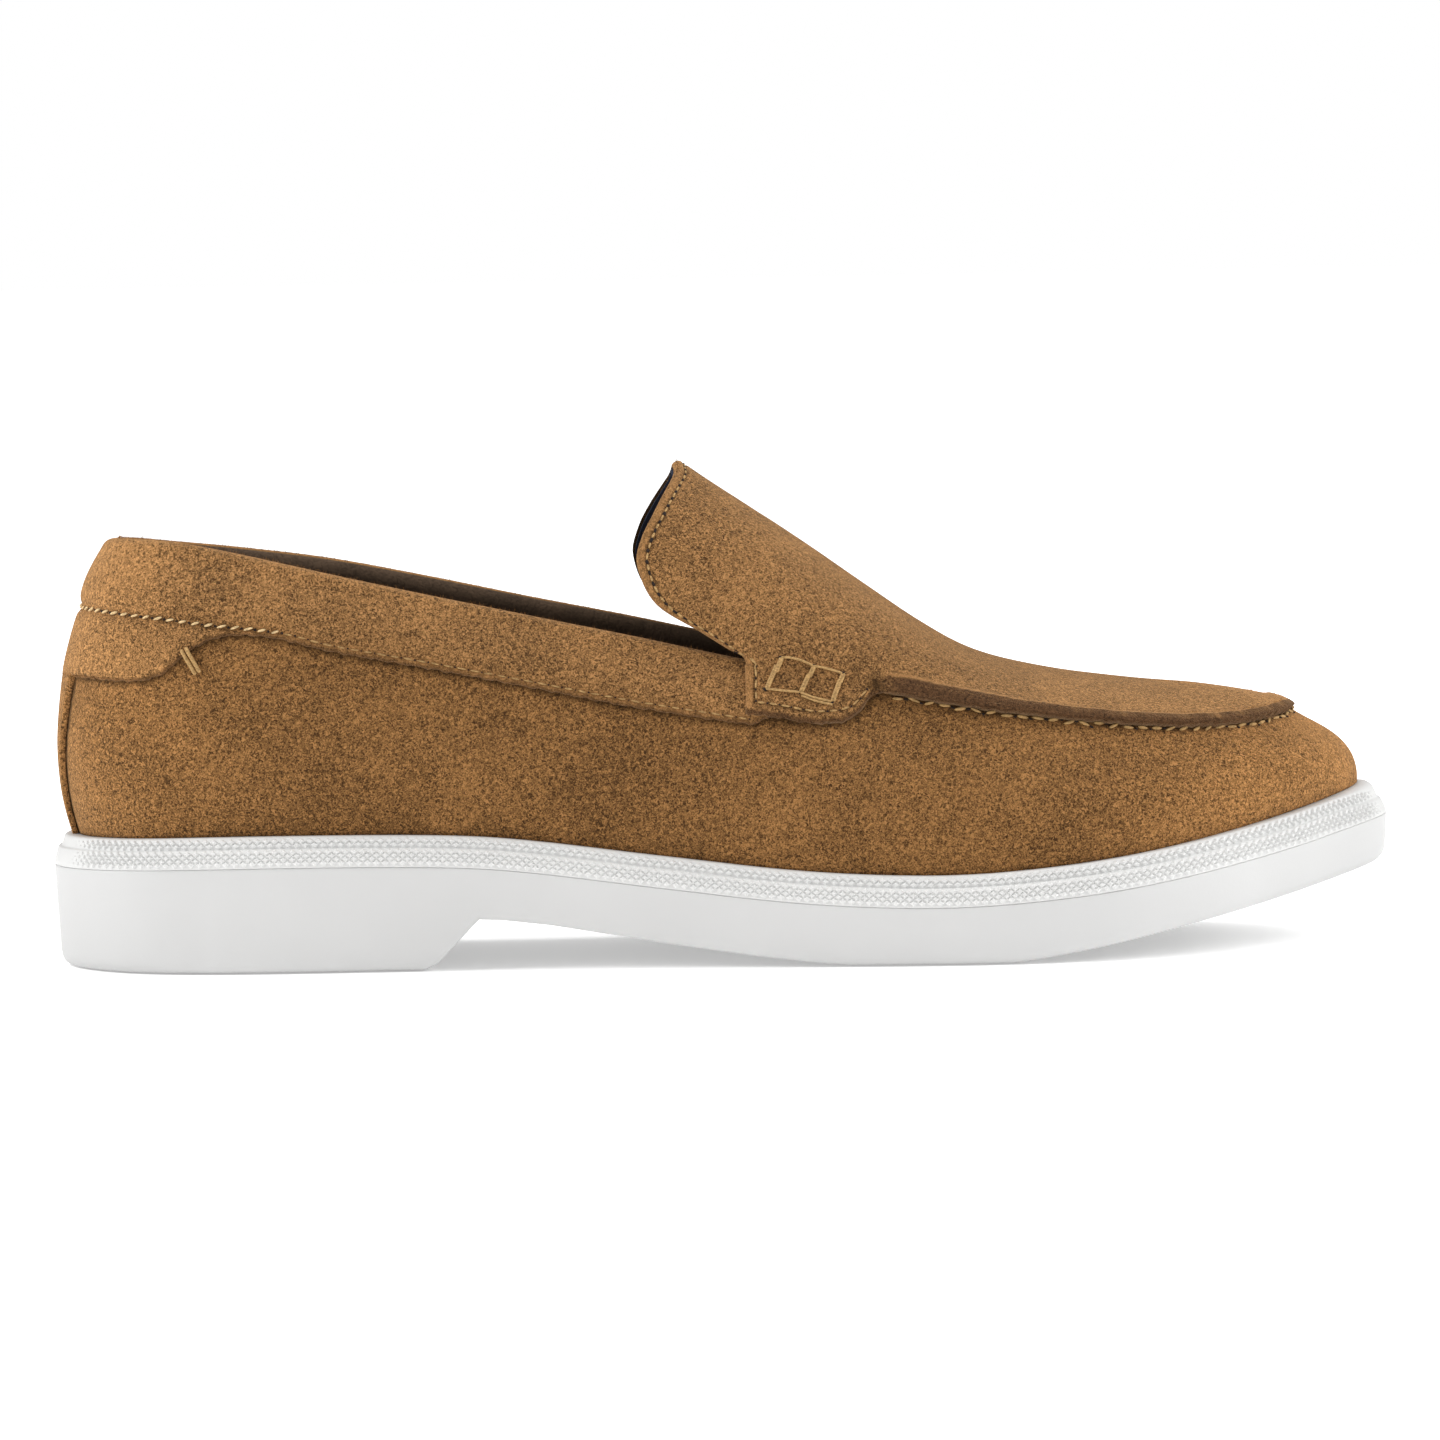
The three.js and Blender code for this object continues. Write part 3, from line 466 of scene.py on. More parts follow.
def travelled(path):
    """Length in millimetres from a path's start to each of its points."""
    return np.concatenate([[0], np.cumsum(np.linalg.norm(np.diff(path, axis=0), axis=1))])


def read_at(at, lengths, values):
    """Rows of three values, read at lengths along a path."""
    return np.stack([np.interp(at, lengths, values[:, k]) for k in range(3)], axis=-1)


def resample(path, step):
    """Points at even distances along a path, in millimetres, with their directions."""
    lengths = travelled(path)
    count = max(2, int(round(lengths[-1] / step)) + 1)
    points = read_at(np.linspace(0, lengths[-1], count), lengths, path)
    return points, unit(np.gradient(points, axis=0))


def tube(name, paths, radii, finish):
    """Round cords with domed ends along paths, as one mesh."""
    sides = 10
    vertices, faces, base = [], [], 0
    for path, radius in zip(paths, radii):
        points, along = resample(np.asarray(path, dtype=float), radius * 0.7)
        guide = unit(np.cross(along, np.array([0.13, 0.21, 0.97])))
        other = np.cross(along, guide)
        at = np.linspace(0, 1, len(points)) * (len(points) - 1)
        end = np.minimum(at, at[-1] - at) * 0.7
        girth = radius * np.sqrt(np.clip(1 - np.clip(1 - end, 0, 1) ** 2, 0.02, 1))
        angle = np.arange(sides) * 2 * math.pi / sides
        ring = guide[:, None] * np.cos(angle)[None, :, None] + other[:, None] * np.sin(angle)[None, :, None]
        vertices.append((points[:, None] + ring * girth[:, None, None]).reshape(-1, 3))
        row = np.arange(len(points) - 1)[:, None] * sides
        col = np.arange(sides)[None, :]
        nxt = (col + 1) % sides
        quads = np.stack([row + col, row + nxt, row + sides + nxt, row + sides + col], axis=-1).reshape(-1, 4)
        faces += [tuple(q + base) for q in quads]
        faces.append(tuple(np.arange(sides)[::-1] + base))
        faces.append(tuple(np.arange(sides) + base + (len(points) - 1) * sides))
        base += len(points) * sides
    return add_object(name, np.concatenate(vertices), faces, finish)


# ---- Geometry Nodes: one small shape repeated along a run of points ----
def repeat_tree(name, shape, finish):
    """Instances a small shape on each point, turned by its attributes along and facing."""
    tree = bpy.data.node_groups.new(name, "GeometryNodeTree")
    sockets = tree.interface
    sockets.new_socket("Geometry", in_out="INPUT", socket_type="NodeSocketGeometry")
    for label in ("Length", "Width", "Height", "Unevenness", "Turn"):
        sockets.new_socket(label, in_out="INPUT", socket_type="NodeSocketFloat")
    sockets.new_socket("Seed", in_out="INPUT", socket_type="NodeSocketInt")
    sockets.new_socket("Geometry", in_out="OUTPUT", socket_type="NodeSocketGeometry")
    given = tree.nodes.new("NodeGroupInput").outputs

    def node(kind, inputs, output=0, **settings):
        """Adds a node, feeds its inputs with numbers or other nodes' outputs and gives one output."""
        made = tree.nodes.new(kind)
        for key, value in settings.items():
            setattr(made, key, value)
        for key, value in inputs.items():
            if isinstance(value, bpy.types.NodeSocket):
                tree.links.new(value, made.inputs[key])
            else:
                made.inputs[key].default_value = value
        return made.outputs[output] if made.outputs else None

    def read(key, data_type="FLOAT_VECTOR"):
        return node("GeometryNodeInputNamedAttribute", {"Name": key}, "Attribute", data_type=data_type)

    def scatter(low, high):
        limits = {"Min": low, "Max": high, "Seed": given["Seed"]}
        return node("FunctionNodeRandomValue", limits, "Value", data_type="FLOAT_VECTOR")

    def reckon(operation, a, b):
        return node("ShaderNodeMath", {0: a, 1: b}, operation=operation)

    if shape == "thread":
        small = node("GeometryNodeMeshUVSphere", {"Segments": 8, "Rings": 6, "Radius": 0.5}, "Mesh")
    else:
        sides, top = (4, 0.2) if shape == "stud" else (3, 0.12)
        cone = {"Vertices": sides, "Radius Bottom": 0.5, "Radius Top": top, "Depth": 1.0}
        small = node("GeometryNodeMeshCone", cone, "Mesh")
    align = "FunctionNodeAlignRotationToVector"
    stand = node(align, {"Vector": read("facing")}, axis="Z")
    turn = node(align, {"Rotation": stand, "Vector": read("along")}, axis="X", pivot_axis="Z")
    lean = scatter(reckon("MULTIPLY", given["Turn"], -1.0), given["Turn"])
    euler = node("FunctionNodeEulerToRotation", {"Euler": lean})
    tilt = node("FunctionNodeRotateRotation", {"Rotation": turn, "Rotate By": euler}, rotation_space="LOCAL")
    axes = {"X": given["Length"], "Y": given["Width"], "Z": given["Height"]}
    sizes = node("ShaderNodeCombineXYZ", axes)
    uneven = given["Unevenness"]
    vary = scatter(reckon("SUBTRACT", 1.0, uneven), reckon("ADD", 1.0, uneven))
    varied = node("ShaderNodeVectorMath", {0: sizes, 1: vary}, operation="MULTIPLY")
    sized = node("ShaderNodeVectorMath", {0: varied, "Scale": read("size", "FLOAT")}, operation="SCALE")
    spots = {"Points": given["Geometry"], "Instance": small, "Rotation": tilt, "Scale": sized}
    solid = node("GeometryNodeRealizeInstances", {"Geometry": node("GeometryNodeInstanceOnPoints", spots)})
    faces = {"Geometry": solid, "Shade Smooth": shape == "thread"}
    smooth = node("GeometryNodeSetShadeSmooth", faces)
    painted = node("GeometryNodeSetMaterial", {"Geometry": smooth, "Material": finish})
    node("NodeGroupOutput", {"Geometry": painted})
    return tree


def repeat_along(name, runs, shape, finish, sizes, unevenness, turn, seed):
    """One plain mesh of small shapes; runs is a list of (points, along, facing, size)."""
    points = np.concatenate([r[0] for r in runs])
    mesh = bpy.data.meshes.new(name)
    mesh.from_pydata((points * MM).tolist(), [], [])
    for key, column in (("along", 1), ("facing", 2)):
        layer = mesh.attributes.new(key, "FLOAT_VECTOR", "POINT")
        directions = np.concatenate([r[column] for r in runs])
        layer.data.foreach_set("vector", directions.ravel().astype(np.float32))
    layer = mesh.attributes.new("size", "FLOAT", "POINT")
    size = np.concatenate([np.broadcast_to(r[3], len(r[0])) for r in runs])
    layer.data.foreach_set("value", size.astype(np.float32))
    obj = bpy.data.objects.new(name, mesh)
    bpy.context.scene.collection.objects.link(obj)
    modifier = obj.modifiers.new("Run", "NODES")
    modifier.node_group = repeat_tree(name + "_run", shape, finish)
    values = dict(zip(("Length", "Width", "Height"), (v * MM for v in sizes)))
    values.update({"Unevenness": unevenness, "Turn": turn, "Seed": seed})
    for item in modifier.node_group.interface.items_tree:
        if item.in_out == "INPUT" and item.name in values:
            modifier[item.identifier] = values[item.name]
    graph = bpy.context.evaluated_depsgraph_get()
    made = bpy.data.meshes.new_from_object(obj.evaluated_get(graph))
    obj.modifiers.remove(modifier)
    obj.data = made
    made.name = name
    bpy.data.meshes.remove(mesh)
    return obj


def on_wall(s, z, offset):
    """Points on the wall at stations s and heights z, held off it, with their facing."""
    t = wall_share_at(s, z)
    facing = wall_normal(s, t)
    return wall(s, t) + facing * np.asarray(offset)[..., None], facing


def evenly(points, facing, pitch):
    """Points along a path at an even pitch, with directions along and off the surface."""
    lengths = travelled(points)
    at = np.arange(pitch / 2, lengths[-1], pitch)
    along = read_at(at + 0.5, lengths, points) - read_at(at - 0.5, lengths, points)
    return read_at(at, lengths, points), unit(along), unit(read_at(at, lengths, facing))


def slanted(along, facing, angle):
    """Directions turned in the surface by an angle from the run's own."""
    side = np.cross(facing, along)
    return along * math.cos(angle) + side * math.sin(angle)


# ---- Materials ----
class Paint:
    """A small helper that wires one procedural material."""

    def __init__(self, name, colour, roughness=0.6, specular=0.4):
        self.material = bpy.data.materials.new(name)
        self.material.use_nodes = True
        self.tree = self.material.node_tree
        self.surface = self.tree.nodes["Principled BSDF"]
        self.surface.inputs["Base Color"].default_value = (*colour, 1)
        self.surface.inputs["Roughness"].default_value = roughness
        self.surface.inputs["Specular IOR Level"].default_value = specular
        self.place = self.tree.nodes.new("ShaderNodeTexCoord").outputs["Object"]

    def node(self, kind, **inputs):
        made = self.tree.nodes.new(kind)
        for key, value in inputs.items():
            self.feed(made.inputs[key.replace("_", " ")], value)
        return made

    def feed(self, socket, value):
        if isinstance(value, bpy.types.NodeSocket):
            self.tree.links.new(value, socket)
        else:
            socket.default_value = value

    def noise(self, scale, detail=3.0, distortion=0.0, roughness=0.5, stretch=None):
        place = self.place
        if stretch:
            mapping = self.node("ShaderNodeMapping")
            self.feed(mapping.inputs["Vector"], place)
            mapping.inputs["Scale"].default_value = stretch
            place = mapping.outputs["Vector"]
        made = self.node("ShaderNodeTexNoise", Scale=scale, Detail=detail, Roughness=roughness)
        made.inputs["Distortion"].default_value = distortion
        self.feed(made.inputs["Vector"], place)
        return made.outputs["Fac"]

    def span(self, value, low, high, to_low=0.0, to_high=1.0):
        made = self.node("ShaderNodeMapRange")
        self.feed(made.inputs["Value"], value)
        for key, number in (("From Min", low), ("From Max", high), ("To Min", to_low), ("To Max", to_high)):
            made.inputs[key].default_value = number
        return made.outputs["Result"]

    def sum(self, a, b, operation="ADD"):
        made = self.node("ShaderNodeMath")
        made.operation = operation
        self.feed(made.inputs[0], a)
        self.feed(made.inputs[1], b)
        return made.outputs[0]

    def mix(self, share, a, b):
        made = self.node("ShaderNodeMix")
        made.data_type = "RGBA"
        for socket, value in ((0, share), (6, a), (7, b)):
            if isinstance(value, tuple):
                value = (*value, 1.0) if len(value) == 3 else value
            self.feed(made.inputs[socket], value)
        return made.outputs[2]

    def attribute(self, name):
        made = self.node("ShaderNodeAttribute")
        made.attribute_name = name
        return made.outputs["Fac"]

    def colour(self, value):
        self.feed(self.surface.inputs["Base Color"], value)

    def bump(self, height, distance, strength=1.0):
        made = self.node("ShaderNodeBump")
        made.inputs["Strength"].default_value = strength
        made.inputs["Distance"].default_value = distance * MM
        self.feed(made.inputs["Height"], height)
        self.feed(self.surface.inputs["Normal"], made.outputs["Normal"])

    def from_middle(self, middle=0.0):
        """Distance along the shoe from a cross line near its middle, in metres."""
        split = self.node("ShaderNodeSeparateXYZ")
        self.feed(split.inputs[0], self.place)
        return self.sum(self.sum(split.outputs["X"], middle, "SUBTRACT"), 0.0, "ABSOLUTE")

    def sheen(self, weight, roughness, tint):
        self.surface.inputs["Sheen Weight"].default_value = weight
        self.surface.inputs["Sheen Roughness"].default_value = roughness
        self.surface.inputs["Sheen Tint"].default_value = (*tint, 1)


def scaled(colour, factor):
    return tuple(min(1.0, channel * factor) for channel in colour)


def suede_paint(name, colour, cut_colour):
    """Brushed suede: curly short fibres over soft patches of nap, with dark cut edges; painted light makes it
    paler towards toe and heel, a painted highlight lightens the crests and the shade attribute paints shade.
    """
    paint = Paint(name, colour, roughness=0.95, specular=0.1)
    patches = paint.noise(26, detail=3, distortion=0.8)
    strokes = paint.noise(110, detail=3, distortion=1.2)
    curls = paint.noise(1600, detail=2, distortion=1.4, roughness=0.6)
    fine = paint.noise(3000, detail=2, distortion=0.8, roughness=0.6)
    value = paint.sum(
        paint.span(patches, 0.3, 0.7, -0.3, 0.3), paint.span(strokes, 0.3, 0.7, -0.16, 0.16)
    )
    value = paint.sum(value, paint.span(curls, 0.33, 0.69, -1.55, 1.8))
    value = paint.sum(value, paint.span(fine, 0.34, 0.66, -0.55, 0.55))
    # Painted light: the suede is painted paler towards toe and heel, by place along the shoe, for the side
    # lamps' light on the nap.
    lift = paint.span(paint.from_middle(-0.012), 0.08, 0.15)
    share = paint.sum(paint.span(value, -1.5, 1.7), 1.25, "POWER")
    deep = paint.mix(lift, scaled(colour, 0.24), scaled(colour, 0.4))
    pale = paint.mix(lift, scaled(colour, 2.45), scaled(colour, 3.5))
    tone = paint.mix(share, deep, pale)
    frayed = paint.mix(paint.span(curls, 0.35, 0.65), scaled(cut_colour, 0.4), scaled(cut_colour, 1.5))
    tone = paint.mix(paint.attribute("cut"), tone, frayed)
    # Painted highlight: lightens the crests of lip, collar roll, band edge and the tongue's rolled edge;
    # partly pale fuzzy nap, partly painted light where it falls on them.
    raw = paint.sum(paint.attribute("raw"), 0.6, "MULTIPLY")
    tone = paint.mix(raw, tone, scaled(colour, 2.1))
    paint.colour(paint.mix(paint.attribute("shade"), tone, scaled(colour, 0.12)))
    height = paint.sum(paint.sum(curls, 0.7, "MULTIPLY"), paint.sum(fine, 0.3, "MULTIPLY"))
    paint.bump(height, 0.6, 0.8)
    paint.sheen(0.33, 0.34, (1.0, 0.64, 0.34))
    return paint.material


def rubber_paint(name, colour):
    """Matt white moulded rubber with a faint grain, with painted shade that greys it towards heel and toe."""
    paint = Paint(name, colour, roughness=0.52, specular=0.4)
    cloud = paint.noise(45, detail=2)
    tone = paint.mix(paint.span(cloud, 0.3, 0.7), scaled(colour, 0.98), scaled(colour, 1.01))
    # Painted shade: greyer towards heel and toe by place along the shoe, against the side lamps' light there.
    tone = paint.mix(paint.span(paint.from_middle(), 0.115, 0.15), tone, scaled(colour, 0.84))
    paint.colour(tone)
    paint.bump(paint.noise(1300, detail=3), 0.05, 0.4)
    return paint.material


def velour_paint(name, colour, bump=0.3):
    """Short-piled dark cloth, or a plain woven one with little bump."""
    paint = Paint(name, colour, roughness=0.95, specular=0.15)
    pile = paint.noise(900, detail=3, distortion=1.2)
    cloud = paint.noise(60, detail=2)
    value = paint.sum(paint.span(pile, 0.3, 0.7, 0, 0.6), paint.span(cloud, 0.3, 0.7, 0, 0.4))
    paint.colour(paint.mix(value, scaled(colour, 0.55), scaled(colour, 1.5)))
    paint.bump(pile, bump)
    paint.sheen(0.25, 0.5, scaled(colour, 4))
    return paint.material


def thread_paint(name, colour):
    """Twisted sewing thread: fine slanting strands along the object's own axes."""
    paint = Paint(name, colour, roughness=0.7, specular=0.25)
    strands = paint.noise(1800, detail=2, distortion=0.4, stretch=(1.0, 1.0, 2.2))
    paint.colour(paint.mix(paint.span(strands, 0.35, 0.65), scaled(colour, 0.62), scaled(colour, 1.25)))
    paint.bump(strands, 0.15, 0.6)
    return paint.material


def grained_paint(name, colour, roughness, grain, metallic=0.0):
    """Board, foam, cork or steel, told apart by grain, roughness and metal; also the near-black painted shade
    of stitch holes.
    """
    paint = Paint(name, colour, roughness=roughness)
    cells = paint.noise(grain, detail=3)
    paint.colour(paint.mix(paint.span(cells, 0.3, 0.7), scaled(colour, 0.8), scaled(colour, 1.18)))
    paint.surface.inputs["Metallic"].default_value = metallic
    paint.bump(cells, 0.12, 0.5)
    return paint.material


MATERIALS = {}


# ---- Settings ----
class MoccasinColours(bpy.types.PropertyGroup):
    """Colours of the shoe's finishes."""

    suede: FloatVectorProperty(
        name="Suede", description="Middle tone of the upper's suede", subtype="COLOR", size=3,
        default=(0.196, 0.099, 0.036), min=0, max=1,
    )
    quarter: FloatVectorProperty(
        name="Quarter suede", description="Middle tone of the wall's slightly darker suede", subtype="COLOR",
        size=3, default=(0.178, 0.087, 0.0295), min=0, max=1,
    )
    cut_edge: FloatVectorProperty(
        name="Cut edge", description="Raw edge of the leather along the seam", subtype="COLOR", size=3,
        default=(0.088, 0.043, 0.019), min=0, max=1,
    )
    sole: FloatVectorProperty(
        name="Sole", description="Moulded sole unit", subtype="COLOR", size=3,
        default=(0.635, 0.635, 0.63), min=0, max=1,
    )
    rim: FloatVectorProperty(
        name="Rim", description="Textured rim round the sole's top", subtype="COLOR", size=3,
        default=(0.71, 0.71, 0.7), min=0, max=1,
    )
    lining: FloatVectorProperty(
        name="Lining", description="Pile lining inside the quarters", subtype="COLOR", size=3,
        default=(0.07, 0.045, 0.028), min=0, max=1,
    )
    tongue_lining: FloatVectorProperty(
        name="Tongue lining", description="Smooth lining behind the tongue", subtype="COLOR", size=3,
        default=(0.015, 0.018, 0.03), min=0, max=1,
    )
    thread: FloatVectorProperty(
        name="Thread", description="Sewing thread on the suede", subtype="COLOR", size=3,
        default=(0.43, 0.26, 0.1), min=0, max=1,
    )
    heel_thread: FloatVectorProperty(
        name="Heel thread", description="Paler thread of the collar round the heel", subtype="COLOR", size=3,
        default=(0.66, 0.47, 0.24), min=0, max=1,
    )


class MoccasinSizes(bpy.types.PropertyGroup):
    """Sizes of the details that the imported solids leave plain."""

    rim_height: FloatProperty(
        name="Rim height", description="Height of the textured rim under the upper", subtype="DISTANCE",
        unit="LENGTH", default=6.8 * MM, min=0.004, max=0.009,
    )
    stud_width: FloatProperty(
        name="Stud width", description="Pitch of the rim's raised diamonds", subtype="DISTANCE",
        unit="LENGTH", default=1.95 * MM, min=0.001, max=0.004,
    )
    stud_rise: FloatProperty(
        name="Stud rise", description="How far a diamond stands off the rim", subtype="DISTANCE",
        unit="LENGTH", default=0.5 * MM, min=0.0001, max=0.001,
    )
    collar_puff: FloatProperty(
        name="Collar padding", description="Swell of the padded collar", subtype="DISTANCE",
        unit="LENGTH", default=0.9 * MM, min=0, max=0.003,
    )
    lip_rise: FloatProperty(
        name="Seam lip", description="How far the apron's seam stands off the wall", subtype="DISTANCE",
        unit="LENGTH", default=0.8 * MM, min=0, max=0.003,
    )
    seam_pitch: FloatProperty(
        name="Seam stitch pitch", description="Distance between the apron seam's stitches",
        subtype="DISTANCE", unit="LENGTH", default=3.7 * MM, min=0.002, max=0.006,
    )
    collar_pitch: FloatProperty(
        name="Collar stitch pitch", description="Distance between the collar's stitches",
        subtype="DISTANCE", unit="LENGTH", default=3.0 * MM, min=0.002, max=0.006,
    )
    fibre_length: FloatProperty(
        name="Fibre length", description="Stray suede fibres along the raw edges", subtype="DISTANCE",
        unit="LENGTH", default=0.9 * MM, min=0.0002, max=0.003,
    )


class MoccasinStudio(bpy.types.PropertyGroup):
    """Light and camera."""

    key_power: FloatProperty(
        name="Key light", description="Power of the large light overhead", subtype="POWER", unit="POWER",
        default=7.4, min=0, max=100,
    )
    side_power: FloatProperty(
        name="Side lights", description="Power of each light at heel and toe", subtype="POWER", unit="POWER",
        default=16.5, min=0, max=100,
    )
    surround: FloatProperty(
        name="Surround", description="Light that the white surround gives", default=0.405, min=0, max=3,
    )
    distance: FloatProperty(
        name="Camera distance", description="From the camera to the middle of the shoe", subtype="DISTANCE",
        unit="LENGTH", default=1.6, min=0.5, max=5,
    )
    lens: FloatProperty(
        name="Lens", description="Focal length in millimetres", default=177.0, min=50, max=400,
    )


def colour_of(name):
    return tuple(getattr(bpy.context.scene.moccasin_colours, name))


def size_of(name):
    """A detail's size from the panel, in millimetres."""
    return getattr(bpy.context.scene.moccasin_sizes, name) / MM


def material(name):
    """Each finish is made once, from the colours in the panel."""
    if name not in MATERIALS:
        cut_edge = colour_of("cut_edge")
        makers = {
            "suede": (suede_paint, "suede", colour_of("suede"), cut_edge),
            "quarter_suede": (suede_paint, "quarter_suede", colour_of("quarter"), cut_edge),
            "sole": (rubber_paint, "sole_rubber", colour_of("sole")),
            "rim": (rubber_paint, "rim_rubber", colour_of("rim")),
            "lining": (velour_paint, "pile_lining", colour_of("lining")),
            "tongue_lining": (velour_paint, "tongue_lining", colour_of("tongue_lining"), 0.05),
            "thread": (thread_paint, "thread", colour_of("thread")),
            "heel_thread": (thread_paint, "heel_thread", colour_of("heel_thread")),
            # Painted shade: near-black beads that stand in for the shade inside stitch holes.
            "hole": (grained_paint, "stitch_hole", (0.018, 0.01, 0.006), 0.95, 900),
            "foam": (grained_paint, "foam", (0.09, 0.08, 0.075), 0.9, 1500),
            "board": (grained_paint, "fibre_board", (0.46, 0.33, 0.17), 0.85, 500),
            "filler": (grained_paint, "cork_filler", (0.25, 0.18, 0.1), 0.9, 300),
            "steel": (grained_paint, "shank_steel", (0.33, 0.34, 0.35), 0.35, 200, 1.0),
        }
        make, *facts = makers[name]
        MATERIALS[name] = make(*facts)
    return MATERIALS[name]


# ---- Sole ----
def outline_columns(count=360):
    """Stations for a ring whose two halves mirror each other."""
    half = np.linspace(0, TOE, count + 1)
    return np.concatenate([half, COUNT - half[-2:0:-1]])


def end_swell(s, low):
    """The sole stands out a little further at its ends; low runs from the rim's top (0) to the tread (1)."""
    near = from_heel(s)
    return (1.0 + 1.3 * low) * smoothstep(near, 13.8, 15.6) + 0.5 * (1 - smoothstep(near, 0.2, 1.4))


def rim_droop(s, offset, rise):
    """How far the rim's top slopes down outwards round the toe, in millimetres."""
    share = np.clip(1 + rise / size_of("rim_height"), 0, 1)
    return 0.55 * smoothstep(from_heel(s), 14.0, 15.8) * max(offset - 1.2, 0) * share


def ring_rows(s, profile):
    """A ring of rows round the sole; each row is an offset and a height above tread or feather."""
    base, side = bottom_edge(s), plan_normal(s)
    rows = []
    for offset, from_feather, from_tread in profile:
        low = 1.0 if from_feather is None else 0.5 * min(max(-from_feather / size_of("rim_height"), 0), 1)
        point = base + side * (offset + end_swell(s, low)[:, None] * (offset > 1))
        if from_tread is None:
            level = base[..., 2] + from_feather - rim_droop(s, offset, from_feather)
        else:
            level = tread_z(point[..., 0]) + from_tread
        point[..., 2] = level
        rows.append(point)
    return np.stack(rows, axis=1)


def tread_groove(points):
    """Depth of the wavy cross grooves under heel and forefoot, in millimetres."""
    x, y = points[..., 0], points[..., 1]
    wave = np.sin((x + 2.2 * np.sin(y / 5.5)) * 2 * math.pi / 7.5)
    fore = smoothstep(x, -4, 4) * (1 - smoothstep(x, 112, 120))
    heel = smoothstep(x, -136, -128) * (1 - smoothstep(x, -80, -74))
    return 1.1 * smoothstep(wave, 0.1, 0.7) * np.maximum(fore, heel)


def build_sole():
    """Sole unit: side, tread with its grooves, and the ledge and core that the rim goes round."""
    height = size_of("rim_height")
    s = outline_columns()
    columns = len(s)
    half = columns // 2
    corner = [(1.2, 0.0), (2.4, 0.25), (3.2, 0.9), (3.7, 1.9), (SOLE_FOOT, 3.2)]
    wall_rows = ring_rows(s, [(offset, None, rise) for offset, rise in corner])
    top_height = -height - 0.03
    sides = []
    for k in (0.15, 0.35, 0.6, 0.85, 0.97):
        offset = SOLE_FOOT + (SOLE_TOP - SOLE_FOOT) * k
        low, high = wall_rows[:, -1], bottom_edge(s)
        point = high + plan_normal(s) * (offset + end_swell(s, 1 - 0.5 * k)[:, None])
        point[:, 2] = low[:, 2] + (high[:, 2] + top_height - low[:, 2]) * k
        sides.append(point)
    lip = ring_rows(s, [(4.96, top_height - 0.05, None), (4.9, top_height, None), (-2.8, top_height, None)])
    core = ring_rows(s, [(-2.9, top_height + 0.2, None), (-3.0, -0.35, None)])
    rows = np.concatenate([wall_rows, np.stack(sides, axis=1), lip, core], axis=1)
    count = rows.shape[1]
    vertices = [rows.reshape(-1, 3)]
    faces = [grid_faces(columns, count, True)]
    for edge, turned in ((0, True), (count - 1, False)):
        lateral = rows[:half + 1, edge]
        medial = np.concatenate([rows[:1, edge], rows[:half - 1:-1, edge]])[:half + 1]
        across = 56
        k = np.linspace(0, 1, across + 1)[None, :, None]
        cap = lateral[:, None] * (1 - k) + medial[:, None] * k
        if turned:
            inset = np.minimum(k, 1 - k)[..., 0] * np.linalg.norm(lateral - medial, axis=-1)[:, None]
            cap[..., 2] = np.where(inset > 0, tread_z(cap[..., 0]), cap[..., 2])
            cap[..., 2] += tread_groove(cap) * smoothstep(inset, 3.5, 5.5)
        quads = grid_faces(half + 1, across + 1, False, sum(len(v) for v in vertices))
        faces.append(quads if turned else quads[:, ::-1])
        vertices.append(cap.reshape(-1, 3))
    obj = add_object("sole_unit", np.concatenate(vertices), np.concatenate(faces), material("sole"))
    weld_doubles(obj)
    face_outwards(obj)
    settle(obj, "sole", "sole_base")


def rim_profile(height):
    """Cross-section of the two-tier rim: offset from the upper's edge, height from the feather line."""
    step = -2.65
    return [
        (-2.4, -height), (4.7, -height), (4.9, -height + 0.06), (4.98, -height + 0.3),
        (4.95, -height + 0.9), (4.15, step - 0.25), (3.95, step - 0.02), (3.55, step + 0.02),
        (3.3, step + 0.12), (3.2, step + 0.4), (2.75, -0.6), (2.5, -0.22), (2.1, -0.02), (1.2, 0.0),
        (-2.4, 0.0),
    ]


